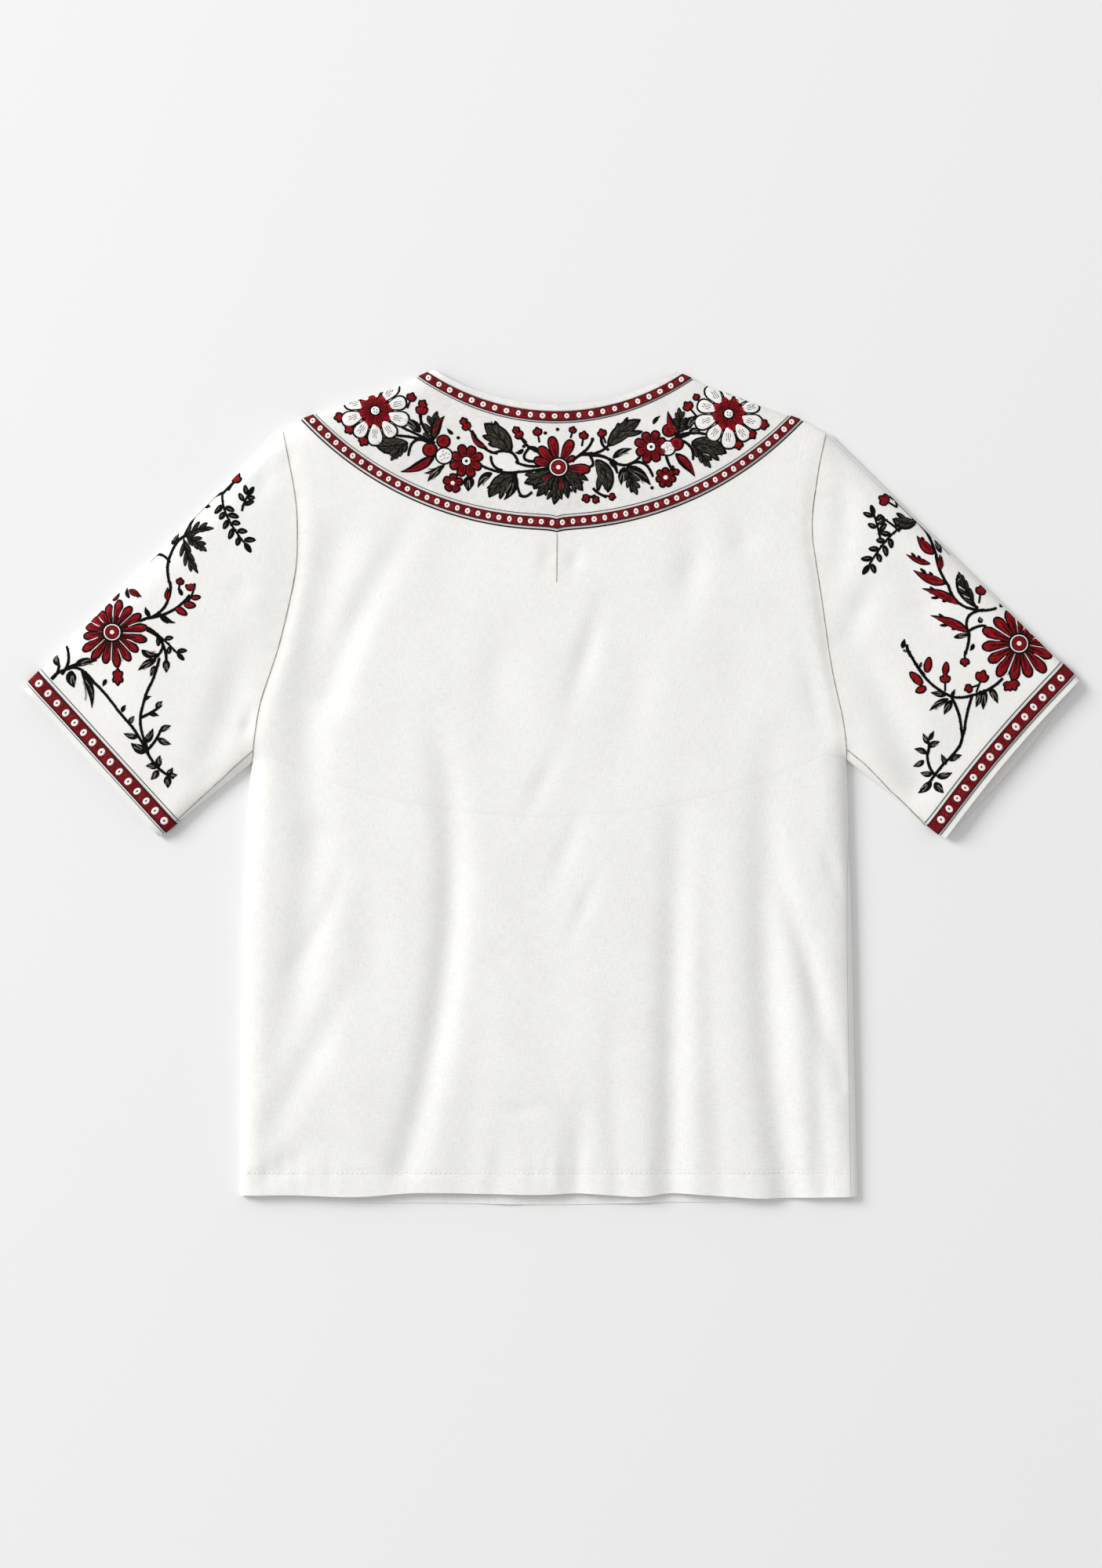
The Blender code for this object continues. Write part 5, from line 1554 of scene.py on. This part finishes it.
threadFinish = {
    "red": {"dark": (0.10, 0.003, 0.005), "light": (0.36, 0.008, 0.014), "slot": "thread_red"},
    "crimson": {"dark": (0.012, 0.001, 0.001), "light": (0.05, 0.002, 0.003), "slot": "thread_red"},
    "black": {"dark": (0.0006, 0.0006, 0.0006), "light": (0.005, 0.0045, 0.004), "slot": "thread_black"},
    "grey": {"dark": (0.004, 0.0035, 0.003), "light": (0.070, 0.060, 0.047), "slot": "thread_black"},
    "ash": {"dark": (0.06, 0.052, 0.043), "light": (0.33, 0.30, 0.26), "slot": "thread_black"},
    # Seam lines: a brown that is partly the stitching thread and partly painted shadow in the seam's valley
    "seam": {"dark": (0.26, 0.21, 0.16), "light": (0.46, 0.40, 0.33), "slot": "thread_white"},
    "rose": {"dark": (0.30, 0.02, 0.03), "light": (0.50, 0.10, 0.10), "slot": "thread_red"},
    "white": {"dark": (0.74, 0.73, 0.71), "light": (0.93, 0.92, 0.90), "slot": "thread_white"},
}


# Satin stitch: streaks along each pad and fine threads across it
def threadMaterial(name, finish):
    material, shader, nodes, links = newMaterial(name, 0.6, 0.06)
    where = addNode(nodes, "ShaderNodeUVMap", uv_map="thread").outputs["UV"]
    streaks = stretched(nodes, links, where, (1.0, 0.16, 1.0))
    tone = noiseTone(nodes, links, streaks, finish, 0.38, 0.62, Scale=1150.0, Detail=2.0, Roughness=0.6)
    links.new(tone, shader.inputs["Base Color"])
    bands = addNode(nodes, "ShaderNodeTexWave", Scale=420.0, Distortion=2.0, Detail=1.0)
    bands.bands_direction = "Y"
    links.new(where, bands.inputs["Vector"])
    addBump(nodes, links, bands.outputs["Color"], shader, 0.45, 0.0002)
    return material


threadMats = {name: threadMaterial(name + "Thread", finish) for name, finish in threadFinish.items()}
embroidery = {"yoke": [], "sleeveLeft": [], "sleeveRight": [], "back": []}
for area, thread in sorted(stitches):
    embroidery[area].append(makeStitches(area, thread, threadMats[thread], threadFinish[thread]["slot"]))
    print("embroidered", area, thread, len(stitches[(area, thread)]))


# Fine dark lines beside the ribbons, and the rings and specks woven into them
lines = {
    "neck": [(15.0, 0.7)],                 # from the neck edge, and width
    "yoke": [(0.8, 1.0), (13.0, 0.55)],    # from the yoke's lower edge
    "cuff": [(4.8, 0.5), (21.0, 0.65)],    # from the cuff edge
    "height": 0.30,
    "dark": (0.004, 0.004, 0.007),
    "light": (0.035, 0.030, 0.040),
}
rings = {
    "neck": {"from": 9.6, "pitch": 9.9, "long": 4.8, "wide": 4.7},
    "yoke": {"from": 6.9, "pitch": 8.7, "long": 4.6, "wide": 5.0},
    "cuff": {"from": 12.4, "pitch": 10.8, "long": 5.8, "wide": 7.0},
    "thread": 0.36,    # of the ring's half width
}


# A low ridge over three rows of plan points
def ridgeLay(plan, layer, height):
    rise = np.zeros(plan.shape[:-1])
    rise[1] = height
    flat = plan.reshape(-1, 2)
    tall, normal = upperSurface(flat) if layer == "upper" else lowerSurface(flat)
    surface = np.column_stack([flat, tall])
    outer = surface + normal * (rise.reshape(-1, 1) + 0.18)
    inner = surface - normal * 0.25
    return outer.reshape(*plan.shape[:-1], 3), inner.reshape(*plan.shape[:-1], 3)


def lineRows(centre, width):
    return np.array([centre - width / 2, centre, centre + width / 2])


def makeYokeLine(name, fromSeam, fromNeck):
    plan = yokePlan(yokeColumns(gridStep), fromSeam, fromNeck)
    outer, inner = ridgeLay(plan, "upper", lines["height"])
    outer, inner = partAtFolds(outer, inner, plan, "upper")
    return clothGrid(name, outer, inner)


def makeCuffLine(name, side, centre, width):
    rows = lineRows(centre, width)[::-1]
    upper = ridgeLay(sleevePlan(side, "upper", rows), "upper", lines["height"])
    lower = ridgeLay(sleevePlan(side, "lower", rows), "lower", lines["height"])
    return clothGrid(name, *closedRings(side, upper, lower), closed=True)


def lineMaterial():
    material, shader, nodes, links = newMaterial("darkLineThread", 0.7, 0.15)
    place = addNode(nodes, "ShaderNodeTexCoord").outputs["Object"]
    tone = noiseTone(nodes, links, place, lines, 0.35, 0.7, Scale=700.0, Detail=2.0)
    links.new(tone, shader.inputs["Base Color"])
    return material


darkLine = lineMaterial()
for k, (centre, width) in enumerate(lines["neck"]):
    line = makeYokeLine("neckLine" + str(k), (), lineRows(centre, width)[::-1])
    embroidery["yoke"].append(finishPiece(line, darkLine, "thread_black"))
for k, (centre, width) in enumerate(lines["yoke"]):
    line = makeYokeLine("yokeLine" + str(k), lineRows(centre, width), ())
    embroidery["yoke"].append(finishPiece(line, darkLine, "thread_black"))
for side in bothSides:
    for k, (centre, width) in enumerate(lines["cuff"]):
        line = makeCuffLine("cuffLine" + side.capitalize() + str(k), side, centre, width)
        embroidery["sleeve" + side.capitalize()].append(finishPiece(line, darkLine, "thread_black"))


# Places along a curve at an even pitch, with the direction of the curve there
def evenPlaces(curve, pitch):
    whole = runLengths(curve)[-1]
    count = int(whole / pitch)
    lengths = (np.arange(count) + 0.5) * pitch + (whole - count * pitch) / 2
    point = atLengths(curve, lengths)
    ahead = atLengths(curve, lengths + 1.0) - atLengths(curve, lengths - 1.0)
    return point, ahead / np.linalg.norm(ahead, axis=1)[:, None]


# Copies of one small form, laid on a ribbon and joined
def makeMarks(name, form, places, sizes, turns, layer, base, material, slot):
    points = np.empty(len(form.data.vertices) * 3)
    form.data.vertices.foreach_get("co", points)
    points = points.reshape(-1, 3)
    plan, rise = [], []
    for place, size, turn in zip(places, sizes, turns):
        cos, sin = math.cos(turn), math.sin(turn)
        x, y = points[:, 0] * size[0] / 2, points[:, 1] * size[1] / 2
        plan.append(place + np.column_stack([x * cos - y * sin, x * sin + y * cos]))
        rise.append(base + points[:, 2])
    plan = keepInside(np.vstack(plan))
    height, normal = upperSurface(plan) if layer == "upper" else lowerSurface(plan)
    laid = toWorld(np.column_stack([plan, height]) + normal * np.concatenate(rise)[:, None])
    marks = []
    for k in range(len(places)):
        mark = form.copy()
        mark.data = form.data.copy()
        bpy.context.collection.objects.link(mark)
        mark.data.vertices.foreach_set("co", laid[k * len(points):(k + 1) * len(points)].ravel())
        if layer == "lower":
            mark.data.flip_normals()
        marks.append(mark)
    makeActive(marks[0])
    for mark in marks:
        mark.select_set(True)
    bpy.ops.object.join()
    piece = bpy.context.object
    piece.name = name
    bpy.ops.object.shade_smooth_by_angle(angle=math.radians(60))
    return finishPiece(piece, material, slot)


def makeRibbonMarks(name, curve, row, layer):
    point, ahead = evenPlaces(curve, row["pitch"])
    pick = random.Random(len(point) * 7 + int(abs(point[0][0])))
    angles = [math.atan2(y, x) + pick.uniform(-0.12, 0.12) for x, y in ahead]
    sizes = [(row["long"] * pick.uniform(0.8, 1.0), row["wide"] * pick.uniform(0.86, 1.0)) for _ in point]
    base = blouse["seamGap"] + trims["ribbonWall"] + 0.12
    deselectAll()
    bpy.ops.mesh.primitive_torus_add(major_segments=16, minor_segments=6, major_radius=1 - rings["thread"],
                                     minor_radius=rings["thread"])
    form = bpy.context.object
    marks = [makeMarks(name + "Rings", form, point, sizes, angles, layer, base, threadMats["white"],
                       "thread_white")]
    bpy.data.objects.remove(form)
    bpy.ops.mesh.primitive_ico_sphere_add(subdivisions=1, radius=1.0)
    speck = bpy.context.object
    between = (point[:-1] + point[1:]) / 2
    side = np.column_stack([-ahead[:-1, 1], ahead[:-1, 0]])
    places, speckSizes = [], []
    for across, along in ((0.9, 0.5), (-0.8, 0.7), (0.1, -0.8), (-1.3, -0.4), (1.5, -0.5)):
        places.append(between + side * across * row["wide"] / 4.6 + ahead[:-1] * along)
        speckSizes += [(pick.uniform(0.6, 1.1), pick.uniform(0.6, 1.0)) for _ in between]
    places = np.vstack(places)
    speck.data.vertices.foreach_set("co", [value * (1.0, 1.0, 0.3)[k % 3] for k, value in enumerate(
        [v for vertex in speck.data.vertices for v in vertex.co])])
    for k, thread in enumerate(("crimson", "rose")):
        marks.append(makeMarks(name + thread.capitalize() + "Specks", speck, places[k::2], speckSizes[k::2],
                               [0.0] * len(places[k::2]), layer, base - 0.1, threadMats[thread],
                               "thread_red"))
    bpy.data.objects.remove(speck)
    return marks


columns = yokeColumns(gridStep)
embroidery["yoke"] += makeRibbonMarks("neckRibbon", yokePlan(columns, (), (rings["neck"]["from"],))[0],
                                      rings["neck"], "upper")
embroidery["yoke"] += makeRibbonMarks("yokeRibbon", yokePlan(columns, (rings["yoke"]["from"],), ())[0],
                                      rings["yoke"], "upper")
for side in bothSides:
    for layer in ("upper", "lower"):
        curve = sleevePlan(side, layer, (rings["cuff"]["from"],))[0]
        embroidery["sleeve" + side.capitalize()] += makeRibbonMarks(
            "cuff" + side.capitalize() + layer.capitalize(), curve, rings["cuff"], layer)
print("lines and rings sewn")

# Floor, light and camera
studio = {
    "floor": 6.0,
    "floorColour": (0.84, 0.84, 0.84),
    "keyPower": 815.0,
    "keyPlace": (-7.4, 4.0, 5.0),
    "keySize": 4.2,
    "worldStrength": 0.60,
    "cameraHeight": 3.032,
    "cameraPlace": (-0.0001, 0.0029),
    "lens": 85.0,
}


def makeStudio():
    deselectAll()
    bpy.ops.mesh.primitive_plane_add(size=studio["floor"], location=(0.0, 0.0, -0.0002))
    floor = bpy.context.object
    floor.name = "paleFloor"
    material, shader, nodes, links = newMaterial("paleSurface", 0.9)
    shader.inputs["Base Color"].default_value = (*studio["floorColour"], 1.0)
    floor.data.materials.append(material)

    bpy.ops.object.light_add(type="AREA", location=studio["keyPlace"])
    key = bpy.context.object
    key.name = "keyLight"
    key.data.energy = studio["keyPower"]
    key.data.size = studio["keySize"]
    aim = -np.array(studio["keyPlace"])
    flat = math.hypot(aim[0], aim[1])
    key.rotation_euler = (math.atan2(flat, -aim[2]), 0.0, math.atan2(-aim[0], aim[1]))

    world = bpy.data.worlds.new("softWorld")
    world.use_nodes = True
    world.node_tree.nodes["Background"].inputs["Color"].default_value = (1.0, 1.0, 1.0, 1.0)
    world.node_tree.nodes["Background"].inputs["Strength"].default_value = studio["worldStrength"]
    bpy.context.scene.world = world

    bpy.ops.object.camera_add(location=(*studio["cameraPlace"], studio["cameraHeight"]),
                              rotation=(0.0, 0.0, 0.0))
    camera = bpy.context.object
    camera.data.lens = studio["lens"]
    camera.data.sensor_width = 36.0
    camera.data.clip_end = 20.0
    bpy.context.scene.camera = camera
    bpy.context.scene.view_settings.view_transform = "Standard"


makeStudio()
print("studio set")
